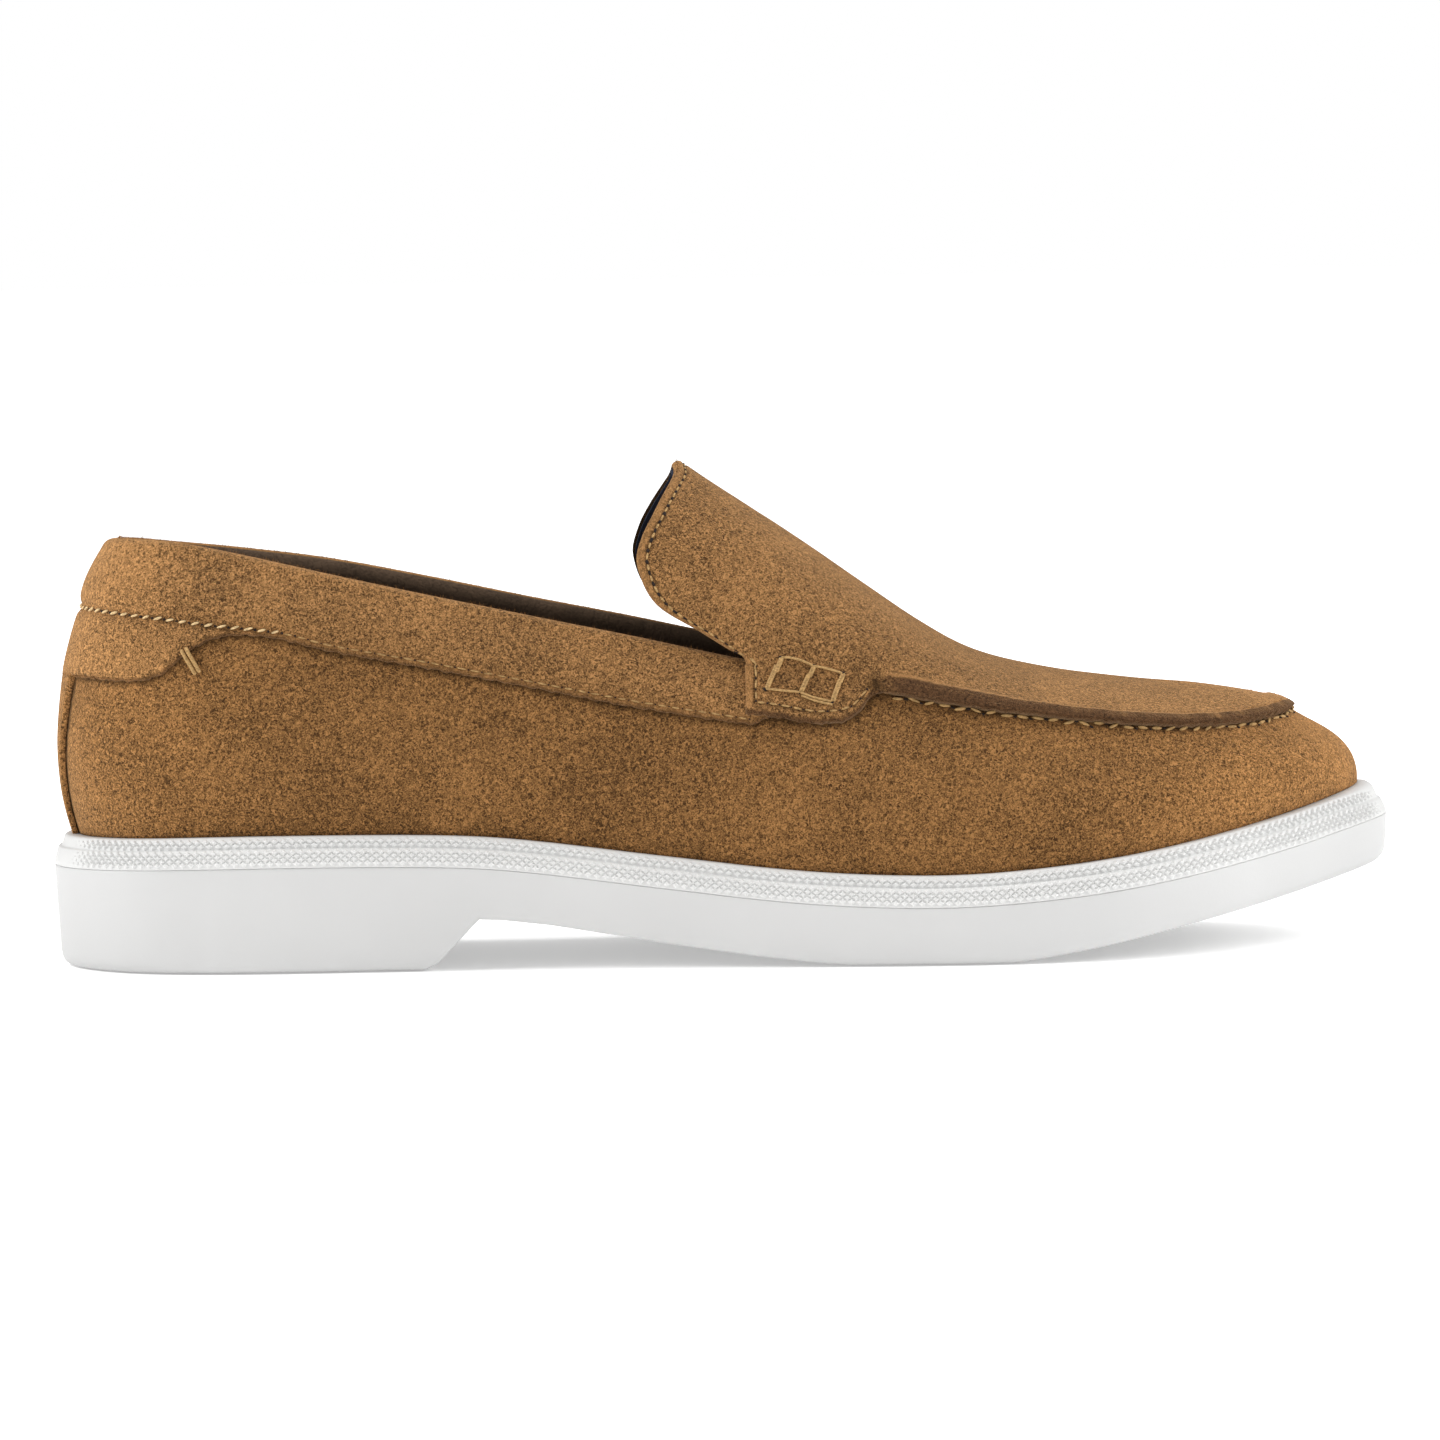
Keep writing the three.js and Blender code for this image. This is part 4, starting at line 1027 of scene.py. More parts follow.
def build_rim():
    """Two-tier rim with rows of small diamonds."""
    height = size_of("rim_height")
    s = outline_columns(400)
    rows = ring_rows(s, [(offset, rise, None) for offset, rise in rim_profile(height)])
    columns, count = rows.shape[:2]
    faces = [grid_faces(columns, count, True)]
    index = np.arange(columns * count).reshape(columns, count)
    nxt = np.roll(index, -1, axis=0)
    faces.append(np.stack([index[:, -1], nxt[:, -1], nxt[:, 0], index[:, 0]], axis=-1))
    rim = add_object("textured_rim", rows.reshape(-1, 3), np.concatenate(faces), material("rim"))
    face_outwards(rim)
    settle(rim, "sole", "welt_band")
    width = size_of("stud_width")
    tiers = [((4.97, -height + 0.75), (4.13, -2.95), 4), ((3.2, -2.2), (2.75, -0.55), 2)]
    fine = np.linspace(0, COUNT, 2400)
    lengths = travelled(bottom_edge(fine) + plan_normal(fine) * WELT)
    count = int(lengths[-1] / width)
    runs = []
    for (o0, z0), (o1, z1), rows_here in tiers:
        slope = math.hypot(o1 - o0, z1 - z0)
        for row in range(rows_here):
            k = (row + 0.5) / rows_here
            share = (np.arange(count) + 0.5 * (row % 2)) / count
            at = np.interp(share * lengths[-1], lengths, fine)
            out = plan_normal(at)
            offset, level = o0 + (o1 - o0) * k, z0 + (z1 - z0) * k
            points = bottom_edge(at) + out * (offset + end_swell(at, -0.5 * level / height)[:, None])
            points[:, 2] += level - rim_droop(at, offset, level)
            facing = out * (z1 - z0) / slope + np.array([0, 0, (o0 - o1) / slope])
            along = unit(np.cross(np.array([0, 0, 1.0]), out))
            to_heel = np.minimum(share, 1 - share) * lengths[-1]
            to_toe = np.abs(share - 0.5) * lengths[-1]
            size = smoothstep(to_heel, 12, 26) * smoothstep(to_toe, 4, 16)
            kept = size > 0.05
            runs.append((points[kept], along[kept], facing[kept], size[kept]))
    sizes = (width * 0.97, 1.55, size_of("stud_rise"))
    studs = repeat_along("rim_studs", runs, "stud", material("rim"), sizes, 0.03, 0.02, 4)
    settle(studs, "sole")


# ---- Upper ----
def wall_top_share(s):
    """The wall ends under the collar band and runs on to the apron seam in front of it."""
    near = from_heel(s)
    collar = wall_share_at(s, curve_through(COLLAR_LOW, near)) + 9 / wall_length(s)
    blend = smoothstep(near, 8.1, 8.4)
    return np.minimum(collar, 0.93) * (1 - blend) + 0.995 * blend


def build_wall():
    """Vamp and quarters in one skin, with the lasting margin that turns in under the foot."""
    s = np.linspace(0, COUNT, 560, endpoint=False)
    rows = np.concatenate([[0], np.linspace(0.012, 1, 72)])
    top = wall_top_share(s)
    t = rows[None, :] * top[:, None]
    form, facing = wall(s[:, None], t), wall_normal(s[:, None], np.clip(t, 0.01, 0.99))
    form = form + facing * softness(form)[..., None]
    margins = []
    for inwards in (9.0, 4.0, 1.2, 0.35):
        point = bottom_edge(s) - plan_normal(s) * inwards
        point[:, 2] = bottom_edge(s)[:, 2] + 0.12 * (inwards > 1) + 0.2 * (inwards < 1)
        margins.append(point)
    down = np.broadcast_to(np.array([0, 0, -1.0]), (len(s), 3))
    margin_facing = [down, down, down, unit(down + plan_normal(s) * 0.8)]
    outer = np.concatenate([np.stack(margins, axis=1), form], axis=1)
    directions = np.concatenate([np.stack(margin_facing, axis=1), facing], axis=1)
    inner = outer - directions * UPPER_THICK
    shade = np.zeros(outer.shape[:2])
    shade[:, :4] = 0.7
    strip = strip_half(np.clip(t / wall_share_at(0.0, STRIP_TOP), 0, 1))
    beside = (from_heel(s)[:, None] - strip) * 14
    shade[:, 4:] = 0.9 * np.exp(-((beside / 0.5) ** 2))
    length = wall_length(s)[:, None]
    collar = (wall_share_at(s, curve_through(COLLAR_LOW, from_heel(s)) + wobble(s))[:, None] - t) * length
    seam = (apron_low_share(s)[:, None] - t) * length
    is_front = smoothstep(from_heel(s), 8.1, 8.3)[:, None]
    below = collar * (1 - is_front) + seam * is_front
    shade[:, 4:] = np.maximum(shade[:, 4:], 0.62 * np.exp(-((np.maximum(below, 0) / 0.75) ** 2)))
    attributes = {"cut": np.zeros(outer.shape[:2]), "raw": np.zeros(outer.shape[:2]), "shade": shade}
    obj = shell("vamp_and_quarters", outer, inner, material("quarter_suede"), attributes, closed=True)
    settle(obj, "suede", "side_wall")


def strip_half(share):
    """Half-width of the strip over the heel seam, in stations, from its foot (0) to its top (1)."""
    return 0.33 + 0.39 * share**1.2


def build_back_strip():
    """Narrow strip over the heel seam, wider towards its top."""
    across = np.linspace(-1, 1, 61)
    rows = np.linspace(0, 1, 60)
    k, row = np.meshgrid(across, rows, indexing="ij")
    top = wall_share_at(0.0, STRIP_TOP) + 2.5 / wall_length(0.0)
    s = (COUNT + k * strip_half(row)) % COUNT
    t = 0.004 + row * (top - 0.004)
    form, facing = wall(s, t), wall_normal(s, t)
    form = form + facing * softness(form)[..., None]
    side = (1 - np.abs(k)) * 9
    outer = form + facing * (0.25 + edge_round(side, 1.15, 0.9) + 0.1)[..., None]
    inner = form + facing * 0.25
    cut = (1 - smoothstep(side, 0.1, 0.5)) * 0.2
    zero = np.zeros_like(cut)
    attributes = {"cut": cut, "raw": zero, "shade": zero}
    obj = shell("heel_strip", outer, inner, material("quarter_suede"), attributes)
    settle(obj, "suede", "back_strip")


def rim_arc(s, radius, angles):
    """Rows that roll over the topline, from the outside (0) to the inside (180 degrees)."""
    top = np.full(len(s), ROLL_FROM)
    point, facing = wall(s, top), wall_normal(s, top)
    lateral, medial = curve_through(RIM_RISE, from_heel(s)), curve_through(RIM_RISE, from_heel(s), 2)
    rise = np.where(s < TOE, lateral, medial)[:, None, None]
    up = unit(top_edge(s) - wall(s, np.full(len(s), 0.95)))
    up = unit(up - facing * np.sum(up * facing, axis=-1, keepdims=True))
    angle = np.radians(angles)[None, :, None]
    out = ROLL_CENTRE + radius * np.cos(angle)
    return point[:, None] + facing[:, None] * out + up[:, None] * (radius * np.sin(angle) + 0.1 + rise)


def build_collar():
    """Strip with a wavy lower edge, sunk along its stitches, puffed above and rolled over."""
    s = np.linspace(-BAND_END, BAND_END, 420)
    wrapped = s % COUNT
    near = np.abs(s)
    low = wall_share_at(wrapped, curve_through(COLLAR_LOW, near) + wobble(s))
    t = up_wall(low, ROLL_FROM, np.linspace(0, 1, 44) ** 1.15)
    form, facing = wall_skin(wrapped, t)
    form = form + facing * (softness(form) * 0.7)[..., None]
    length = wall_length(wrapped)[:, None]
    height = (t - low[:, None]) * length
    stitch = wall_share_at(wrapped, curve_through(COLLAR_STITCH, near))[:, None]
    from_stitch = (t - stitch) * length
    dip = 0.75 * np.exp(-((from_stitch / 1.3) ** 2))
    above = np.clip(from_stitch / np.maximum((ROLL_FROM - stitch) * length, 1), 0, 1)
    puff = size_of("collar_puff") * np.sin(math.pi * above**0.8) * (from_stitch > 0)
    thick = edge_round(height, 1.4, 1.1)
    outer = form + facing * (0.3 + thick + puff - dip * np.clip(height, 0, 1))[..., None]
    inner = form + facing * (0.28 + puff * 0.6)[..., None]
    crest = np.linspace(8, 97, 14)
    outer = np.concatenate([outer, rim_arc(wrapped, 2.95, crest)], axis=1)
    inner = np.concatenate([inner, rim_arc(wrapped, 1.65, crest)], axis=1)
    count = outer.shape[1]
    cut = np.zeros((len(s), count))
    cut[:, :t.shape[1]] = 0.75 * (1 - smoothstep(height, 0.1, 0.7))
    raw = np.zeros_like(cut)
    # Painted highlight along the top of the collar's roll, with some pale fuzzy nap.
    raw[:, -5:] = np.linspace(0.2, 1, 5)[None, :]
    ridge = smoothstep(near, 3.0, 3.6)[:, None]
    # Painted highlight along the ridge over the band's lower edge, with some pale fuzzy nap.
    raw[:, :t.shape[1]] = 0.6 * ridge * np.exp(-(((height - 1.1) / 0.6) ** 2))
    shade = np.zeros_like(cut)
    shade[:, :t.shape[1]] = 0.35 * np.exp(-((from_stitch / 0.5) ** 2)) * (1 - 0.5 * ridge)
    obj = shell("collar_strip", outer, inner, material("suede"), {"cut": cut, "raw": raw, "shade": shade})
    settle(obj, "suede", "collar_band")


def build_collar_foam():
    """Padding from the wall's top edge up into the collar's roll."""
    s = np.linspace(-BAND_END + 0.1, BAND_END - 0.1, 300)
    wrapped = s % COUNT
    low = wall_top_share(wrapped) + 0.8 / wall_length(wrapped)
    t = up_wall(low, ROLL_FROM, np.linspace(0, 1, 14))
    form, facing = wall_skin(wrapped, t)
    foot = edge_round((t - low[:, None]) * wall_length(wrapped)[:, None], 1.0, 1.5)[..., None]
    outer = form + facing * (-1.5 + 1.6 * foot)
    inner = form + facing * (-1.5 - 1.6 * foot)
    outer = np.concatenate([outer, rim_arc(wrapped, 1.4, np.linspace(5, 90, 8))], axis=1)
    inner = np.concatenate([inner, rim_arc(wrapped, 1.4, np.linspace(175, 90.5, 8))], axis=1)
    obj = shell("collar_padding", outer, inner, material("foam"))
    settle(obj, "foam", "collar_foam")


# ---- Apron, tongue and tabs ----
def apron_stations():
    """Stations from the tongue's rear edge to the toe, close together at the tabs."""
    tip = TONGUE_REAR + 0.16 * (np.linspace(0, 1, 40) ** 1.7)
    tabs = np.arange(8.18, 9.34, 0.03)
    front = np.linspace(9.36, TOE, 110)
    return np.concatenate([tip, tabs, front])


def apron_low_share(s):
    """Where the apron's edge lies on the wall: the tab's edge behind, a narrow lap in front."""
    near = from_heel(s)
    lap = 1 - (0.8 + wobble(s)) / wall_length(s)
    tab = wall_share_at(s, curve_through(TAB_LOW, near) + wobble(s))
    blend = smoothstep(near, 9.05, 9.3)
    return np.minimum(tab, lap) * (1 - blend) + lap * blend


def build_apron():
    """Plug with a raised lip along its seam, tongue and tabs, as two halves joined over the instep."""
    near = apron_stations()
    rows_wall, rows_top = 22, 58
    forms, travels = [], []
    for s in (near, np.minimum(COUNT - near, COUNT - 1e-6)):
        t = up_wall(apron_low_share(s), 1, np.linspace(0, 1, rows_wall))
        share = (np.linspace(0, 1, rows_top + 1)[1:] ** 1.25)[None, :]
        form = np.concatenate([wall(s[:, None], t), instep(s[:, None], share)], axis=1)
        down = np.linalg.norm(np.diff(form, axis=1), axis=-1)
        forms.append(form)
        travels.append(np.concatenate([np.zeros((len(s), 1)), np.cumsum(down, axis=1)], axis=1))
    form, travel = over_instep(forms), over_instep(travels)
    across = np.linalg.norm(np.diff(form, axis=0), axis=-1)
    from_edge = np.concatenate([np.zeros((1, form.shape[1])), np.cumsum(across, axis=0)], axis=0)
    facing = grid_normals(form)
    facing[-1] = facing[-2]
    near_grid = np.broadcast_to(near[:, None], travel.shape)
    is_lip = smoothstep(near_grid, 9.12, 9.45)
    above = travel - travel[:, rows_wall - 1:rows_wall]
    face = 0.25 + 2.3 * (1 - smoothstep(near_grid, 9.4, 11.4)) + wobble(near_grid * 1.7)
    crest = np.exp(-np.clip(above - face + 0.3, 0, None) / 1.6)
    front = smoothstep(near_grid, 14.6, 15.9)
    lip = size_of("lip_rise") * (1 - 0.85 * front)
    raised = tab_rise(near_grid, above)
    rim_distance = np.minimum(travel, from_edge)
    rolled = edge_round(rim_distance, 1.7, 1.5)
    tab_thick = rolled * (1 - is_lip) + (1.7 - 0.6 * front) * is_lip
    uneven = softness(form) * 0.8
    outer = form + facing * (0.3 + tab_thick + raised + lip * crest * is_lip + uneven)[..., None]
    inner = form + facing * (0.3 + raised * 0.9 + uneven)[..., None]
    cut = is_lip * (1 - smoothstep(above, face - 0.2, face + 0.25))
    cut = np.maximum(cut, (1 - is_lip) * (1 - smoothstep(travel, 0.5, 1.1)) * 0.9)
    # Painted highlight along the top of the seam lip, with some pale fuzzy nap.
    raw = is_lip * np.exp(-(((above - face - 0.4) / 0.4) ** 2)) * 0.95
    # Painted highlight along the tongue's rolled rear edge, with some pale fuzzy nap.
    raw = np.maximum(raw, 0.5 * (1 - smoothstep(from_edge, 1.2, 2.3)) * (travel > 1.2))
    groove = np.exp(-(((rim_distance - 2.3) / 0.45) ** 2)) * (1 - is_lip)
    outer = outer - facing * (0.35 * groove)[..., None]
    shade = 0.45 * groove
    far = np.arange(form.shape[1])[None, :] > form.shape[1] * 0.52
    shade = np.where(far & (from_edge < 0.9) & (travel > 6), 0.9, shade)
    shade = np.maximum(shade, 0.8 * np.exp(-(((near_grid - 9.2) / 0.06) ** 2)) * (above < 1.5) * (above > -1))
    attributes = {"cut": cut, "raw": raw, "shade": shade}
    obj = shell("apron_and_tongue", outer, inner, material("suede"), attributes, folded=True)
    settle(obj, "suede", "apron")


def build_tongue_lining():
    """Smooth dark lining behind the tongue."""
    near = np.concatenate([8.004 + 0.16 * np.linspace(0, 1, 30) ** 1.6, np.arange(8.2, 8.88, 0.06), [8.9]])
    share = np.linspace(0.2, 1, 44)[None, :]
    form = over_instep([instep(s[:, None], share) for s in (near, COUNT - near)])
    facing = grid_normals(form)
    outer, inner = (form - facing * (depth - softness(form) * 0.8)[..., None] for depth in (0.25, 1.1))
    obj = shell("tongue_lining_cloth", outer, inner, material("tongue_lining"))
    settle(obj, "tongue_lining", "tongue_lining")


# ---- Inside ----
def build_quarter_lining():
    """Pile lining of heel and sides, rolled out over the padding."""
    s = np.linspace(-8.86, 8.86, 380)
    wrapped = s % COUNT
    low = wall_share_at(wrapped, bottom_edge(wrapped)[:, 2] + 4.6)
    form, facing = wall_skin(wrapped, up_wall(low, ROLL_FROM, np.linspace(0, 1, 40)))
    outer, inner = (form + facing * layer for layer in LINING_SKIN)
    behind = np.clip((8.2 - np.abs(s)) / 0.3, 0, 1)[:, None, None]
    arc = np.linspace(172, 99, 12)
    skins = []
    for skin, radius in ((outer, 2.1), (inner, 2.95)):
        rolled = rim_arc(wrapped, radius, arc)
        flat = np.repeat(skin[:, -1:], len(arc), axis=1) + (rolled - rolled[:, :1]) * 0.02
        skins.append(np.concatenate([skin, rolled * behind + flat * (1 - behind)], axis=1))
    obj = shell("quarter_lining_pile", *skins, material("lining"))
    settle(obj, "lining", "quarter_lining")


def build_vamp_lining():
    """Lining under vamp and apron."""
    near = np.concatenate([np.arange(8.9, 15.9, 0.09), [TOE]])
    halves = []
    for s in (near, COUNT - near):
        low = wall_share_at(s, bottom_edge(s)[:, 2] + 4.9)
        wall_part = wall(s[:, None], up_wall(low, 0.97, np.linspace(0, 1, 12)))
        top_part = instep(s[:, None], np.linspace(0.3, 1, 22)[None, :])
        halves.append(np.concatenate([wall_part, top_part], axis=1))
    form = over_instep(halves)
    facing = grid_normals(form)
    facing[-1] = facing[-2]
    outer, inner = (form + facing * layer for layer in LINING_SKIN)
    obj = shell("vamp_lining_cloth", outer, inner, material("lining"), folded=True)
    settle(obj, "lining", "vamp_lining")


def cushion(name, inset, low, high, finish, crown=0.0):
    """A rounded slab on the insole board, cut to the inside of the shoe."""
    count = 240
    half = np.linspace(0, TOE, count + 1)

    def edge(extra):
        """Both halves of the slab's outline, which draws in a little round the toe."""
        inwards = inset + extra + 8 * smoothstep(half, TOE - 5, TOE - 1)
        return [bottom_edge(s) - plan_normal(s) * inwards[:, None] for s in (half, COUNT - half)]

    steps = [(0.9, 0.0), (0.3, 0.12), (0.0, 0.4), (0.0, 0.6), (0.3, 0.88), (0.9, 1.0)]
    across = 40
    k = np.linspace(0, 1, across + 1)[None, :, None]
    layers = []
    for extra, rise in (steps[0], steps[-1]):
        lateral, medial = edge(extra)
        cap = lateral[:, None] * (1 - k) + medial[:, None] * k
        inside = np.minimum(k, 1 - k)[..., 0] * np.linalg.norm(lateral - medial, axis=-1)[:, None]
        swell = crown * smoothstep(inside, 0, 12) * rise
        cap[..., 2] = feather_z(cap[..., 0]) + low + (high - low) * rise + swell
        layers.append(cap)
    bottom, top = layers
    vertices = [top.reshape(-1, 3), bottom.reshape(-1, 3)]
    size = (count + 1) * (across + 1)
    faces = [grid_faces(count + 1, across + 1), grid_faces(count + 1, across + 1, False, size)[:, ::-1]]
    for lateral_side in (True, False):
        rows = []
        for extra, rise in steps:
            lateral, medial = edge(extra)
            line = (lateral if lateral_side else medial).copy()
            line[:, 2] = feather_z(line[:, 0]) + low + (high - low) * rise
            rows.append(line)
        grid = np.stack(rows, axis=1)
        start = sum(len(v) for v in vertices)
        faces.append(grid_faces(count + 1, len(steps), False, start))
        vertices.append(grid.reshape(-1, 3))
    obj = add_object(name, np.concatenate(vertices), np.concatenate(faces), finish)
    weld_doubles(obj, 4e-6)
    face_outwards(obj)
    return obj


def build_insole():
    """Footbed, heel cushion and sock; the hidden stiffeners keep their solids and get a finish."""
    footbed = cushion("footbed_foam", 4.8, 6.6, 8.45, material("foam"))
    settle(footbed, "foam", "footbed")
    sock = cushion("sock_pile", 4.6, 8.55, 9.7, material("lining"), crown=0.25)
    settle(sock, "lining", "sock_lining")
    pad = heel_pad()
    settle(pad, "foam", "heel_pad")
    finishes = {
        "shank": "steel", "bottom_filler": "filler", "insole_board": "board", "heel_counter": "board",
        "toe_puff": "board",
    }
    for node, finish in finishes.items():
        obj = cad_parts[node]
        obj.data.materials.clear()
        obj.data.materials.append(material(finish))


def heel_pad():
    """Domed cushion let into the footbed under the heel."""
    low, high = (np.array(corner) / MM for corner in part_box("heel_pad"))
    shift = np.array(form_shift()) / MM
    centre = (low + high) / 2 - shift
    half = (high - low) / 2
    work = bmesh.new()
    bmesh.ops.create_uvsphere(work, u_segments=96, v_segments=24, radius=1)
    for vertex in work.verts:
        x, y, z = vertex.co
        girth = math.hypot(x, y)
        spread = (girth**0.35 / girth) if girth > 1e-6 else 0.0
        squash = math.copysign(abs(z) ** 0.5, z)
        straight = (half[0] - half[1]) * math.copysign(min(1.0, abs(x) * spread * 1.6), x)
        px, py = centre[0] + straight + x * spread * half[1], centre[1] + y * spread * half[1]
        vertex.co = Vector((px, py, float(feather_z(px)) + 5.5 + squash * 0.95)) * MM
    mesh = bpy.data.meshes.new("heel_cushion")
    work.to_mesh(mesh)
    work.free()
    mesh.polygons.foreach_set("use_smooth", [True] * len(mesh.polygons))
    mesh.materials.append(material("foam"))
    obj = bpy.data.objects.new("heel_cushion", mesh)
    bpy.context.scene.collection.objects.link(obj)
    return obj


# ---- Stitching ----
def build_seam_stitches():
    """Loops over the foot of the apron's lip."""
    s = np.linspace(9.32, COUNT - 9.32, 1500)
    t = apron_low_share(s) - 0.35 / wall_length(s)
    facing = wall_normal(s, t)
    path = wall(s, t) + facing * 0.28
    points, along, normals = evenly(path, facing, size_of("seam_pitch"))
    runs = [(points, slanted(along, normals, 0.1), normals, 1.0)]
    obj = repeat_along("seam_stitches", runs, "thread", material("thread"), (2.7, 0.72, 0.8), 0.14, 0.1, 5)
    settle(obj, "thread", "apron_seam_thread")
    # Painted shade: near-black beads in the holes between the seam's stitches.
    gap = size_of("seam_pitch") / 2
    holes = [(points + along * gap, along, normals, 1.0)]
    dark = repeat_along("seam_holes", holes, "thread", material("hole"), (0.9, 0.55, 0.3), 0.2, 0.1, 6)
    settle(dark, "lining")


def build_collar_stitches():
    """Slanting stitches round the heel, and a sunk run along the sides."""
    s = np.linspace(-8.02, 8.02, 3000)
    near = np.abs(s)
    path, facing = on_wall(s % COUNT, curve_through(COLLAR_STITCH, near), np.full(len(s), 1.35))
    points, along, normals = evenly(path, facing, size_of("collar_pitch"))
    lengths = np.linspace(-1, 1, len(points)) * 8.02
    behind = 1 - smoothstep(np.abs(lengths), 2.7, 3.4)
    up = np.sign(np.sum(np.cross(normals, along) * np.array([0, 0, 1.0]), axis=1))[:, None]
    lean = along * math.cos(0.4) + np.cross(normals, along) * up * math.sin(0.4) * np.sign(lengths)[:, None]
    heel = behind > 0.5
    size = 0.45 + 0.55 * behind[heel]
    runs = [(points[heel] + normals[heel] * 0.1, unit(lean[heel]), normals[heel], size)]
    thread = material("heel_thread")
    obj = repeat_along("heel_stitches", runs, "thread", thread, (2.1, 0.62, 0.62), 0.12, 0.08, 7)
    settle(obj, "thread", "collar_stitch_thread")
    side = ~heel
    runs = [(points[side] - normals[side] * 0.24, along[side], normals[side], 1.0)]
    obj = repeat_along("side_stitches", runs, "thread", material("thread"), (2.0, 0.45, 0.45), 0.15, 0.1, 8)
    settle(obj, "thread")
    # Painted shade: near-black beads in the holes between the collar's stitches.
    gap = size_of("collar_pitch") / 2
    runs = [(points + along * gap - normals * 0.16, along, normals, 0.5 + 0.28 * behind)]
    obj = repeat_along("collar_holes", runs, "thread", material("hole"), (0.9, 0.7, 0.4), 0.2, 0.1, 9)
    settle(obj, "lining")


def tongue_path(inset):
    """A path on the tongue's skin, inset a little from its rear edge, with its facing."""
    share = np.linspace(0.02, 1, EDGE_POINTS)
    paths, facings = [], []
    for edge, ahead in ((TONGUE_REAR, 0.05), (COUNT - TONGUE_REAR, -0.05)):
        gap = np.maximum(np.linalg.norm(instep(edge + ahead, share) - instep(edge, share), axis=-1), 0.5)
        s = edge + ahead * inset / gap
        up = instep(s, share + 0.004) - instep(s, share - 0.004)
        along = instep(s + 0.004, share) - instep(s - 0.004, share)
        facing = unit(np.cross(along, up)) * math.copysign(1, ahead)
        facings.append(unit(facing * np.sign(facing[:, 2:3] + 0.3)))
        paths.append(instep(s, share))
    return np.concatenate([paths[0], paths[1][::-1]]), np.concatenate([facings[0], facings[1][::-1]])


def build_tongue_stitches():
    """A row of stitches along the tongue's rear edge, with near-black beads of painted shade in the holes
    between them.
    """
    path, facing = tongue_path(2.3)
    from_foot = np.arange(EDGE_POINTS)
    level = 1.72 + 1.4 * np.exp(-np.concatenate([from_foot, from_foot[::-1]]) / 55)
    path = path + facing * level[:, None]
    points, along, normals = evenly(path, facing, STITCH_PITCH)
    runs = [(points, along, normals, 1.0)]
    obj = repeat_along("tongue_stitches", runs, "thread", material("thread"), (1.7, 0.55, 0.6), 0.12, 0.1, 10)
    settle(obj, "thread", "tongue_edge_thread")
    # Painted shade: near-black beads in the holes between the tongue's stitches.
    runs = [(points + along * STITCH_PITCH / 2 - normals * 0.02, along, normals, 0.9)]
    obj = repeat_along("tongue_holes", runs, "thread", material("hole"), (1.25, 0.85, 0.4), 0.2, 0.1, 11)
    settle(obj, "lining")


def tab_point(s, z, lift, lateral):
    """A point on a tab's skin and its facing; the skin runs on over the wall's top edge."""
    s, z, lift = np.broadcast_arrays(*(np.asarray(value, dtype=float) for value in (s, z, lift)))
    station = s if lateral else COUNT - s
    low, high = np.zeros(s.shape), np.full(s.shape, 0.4)
    for _ in range(16):
        middle = (low + high) / 2
        below = instep(station, middle)[..., 2] < z
        low, high = np.where(below, middle, low), np.where(below, high, middle)
    share = (low + high) / 2
    over = share > 1e-4
    t = wall_share_at(station, z)
    above = instep(station, share)
    along = instep(station + 0.02, share) - instep(station - 0.02, share)
    up = instep(station, share + 0.01) - instep(station, np.maximum(share - 0.01, 0))
    facing = np.where(over[..., None], unit(np.cross(along, up)), wall_normal(station, t))
    point = np.where(over[..., None], above, wall(station, t))
    climb = np.linalg.norm(above - top_edge(station), axis=-1)
    return point + facing * (TAB_SKIN + tab_rise(s, climb) + lift)[..., None], facing


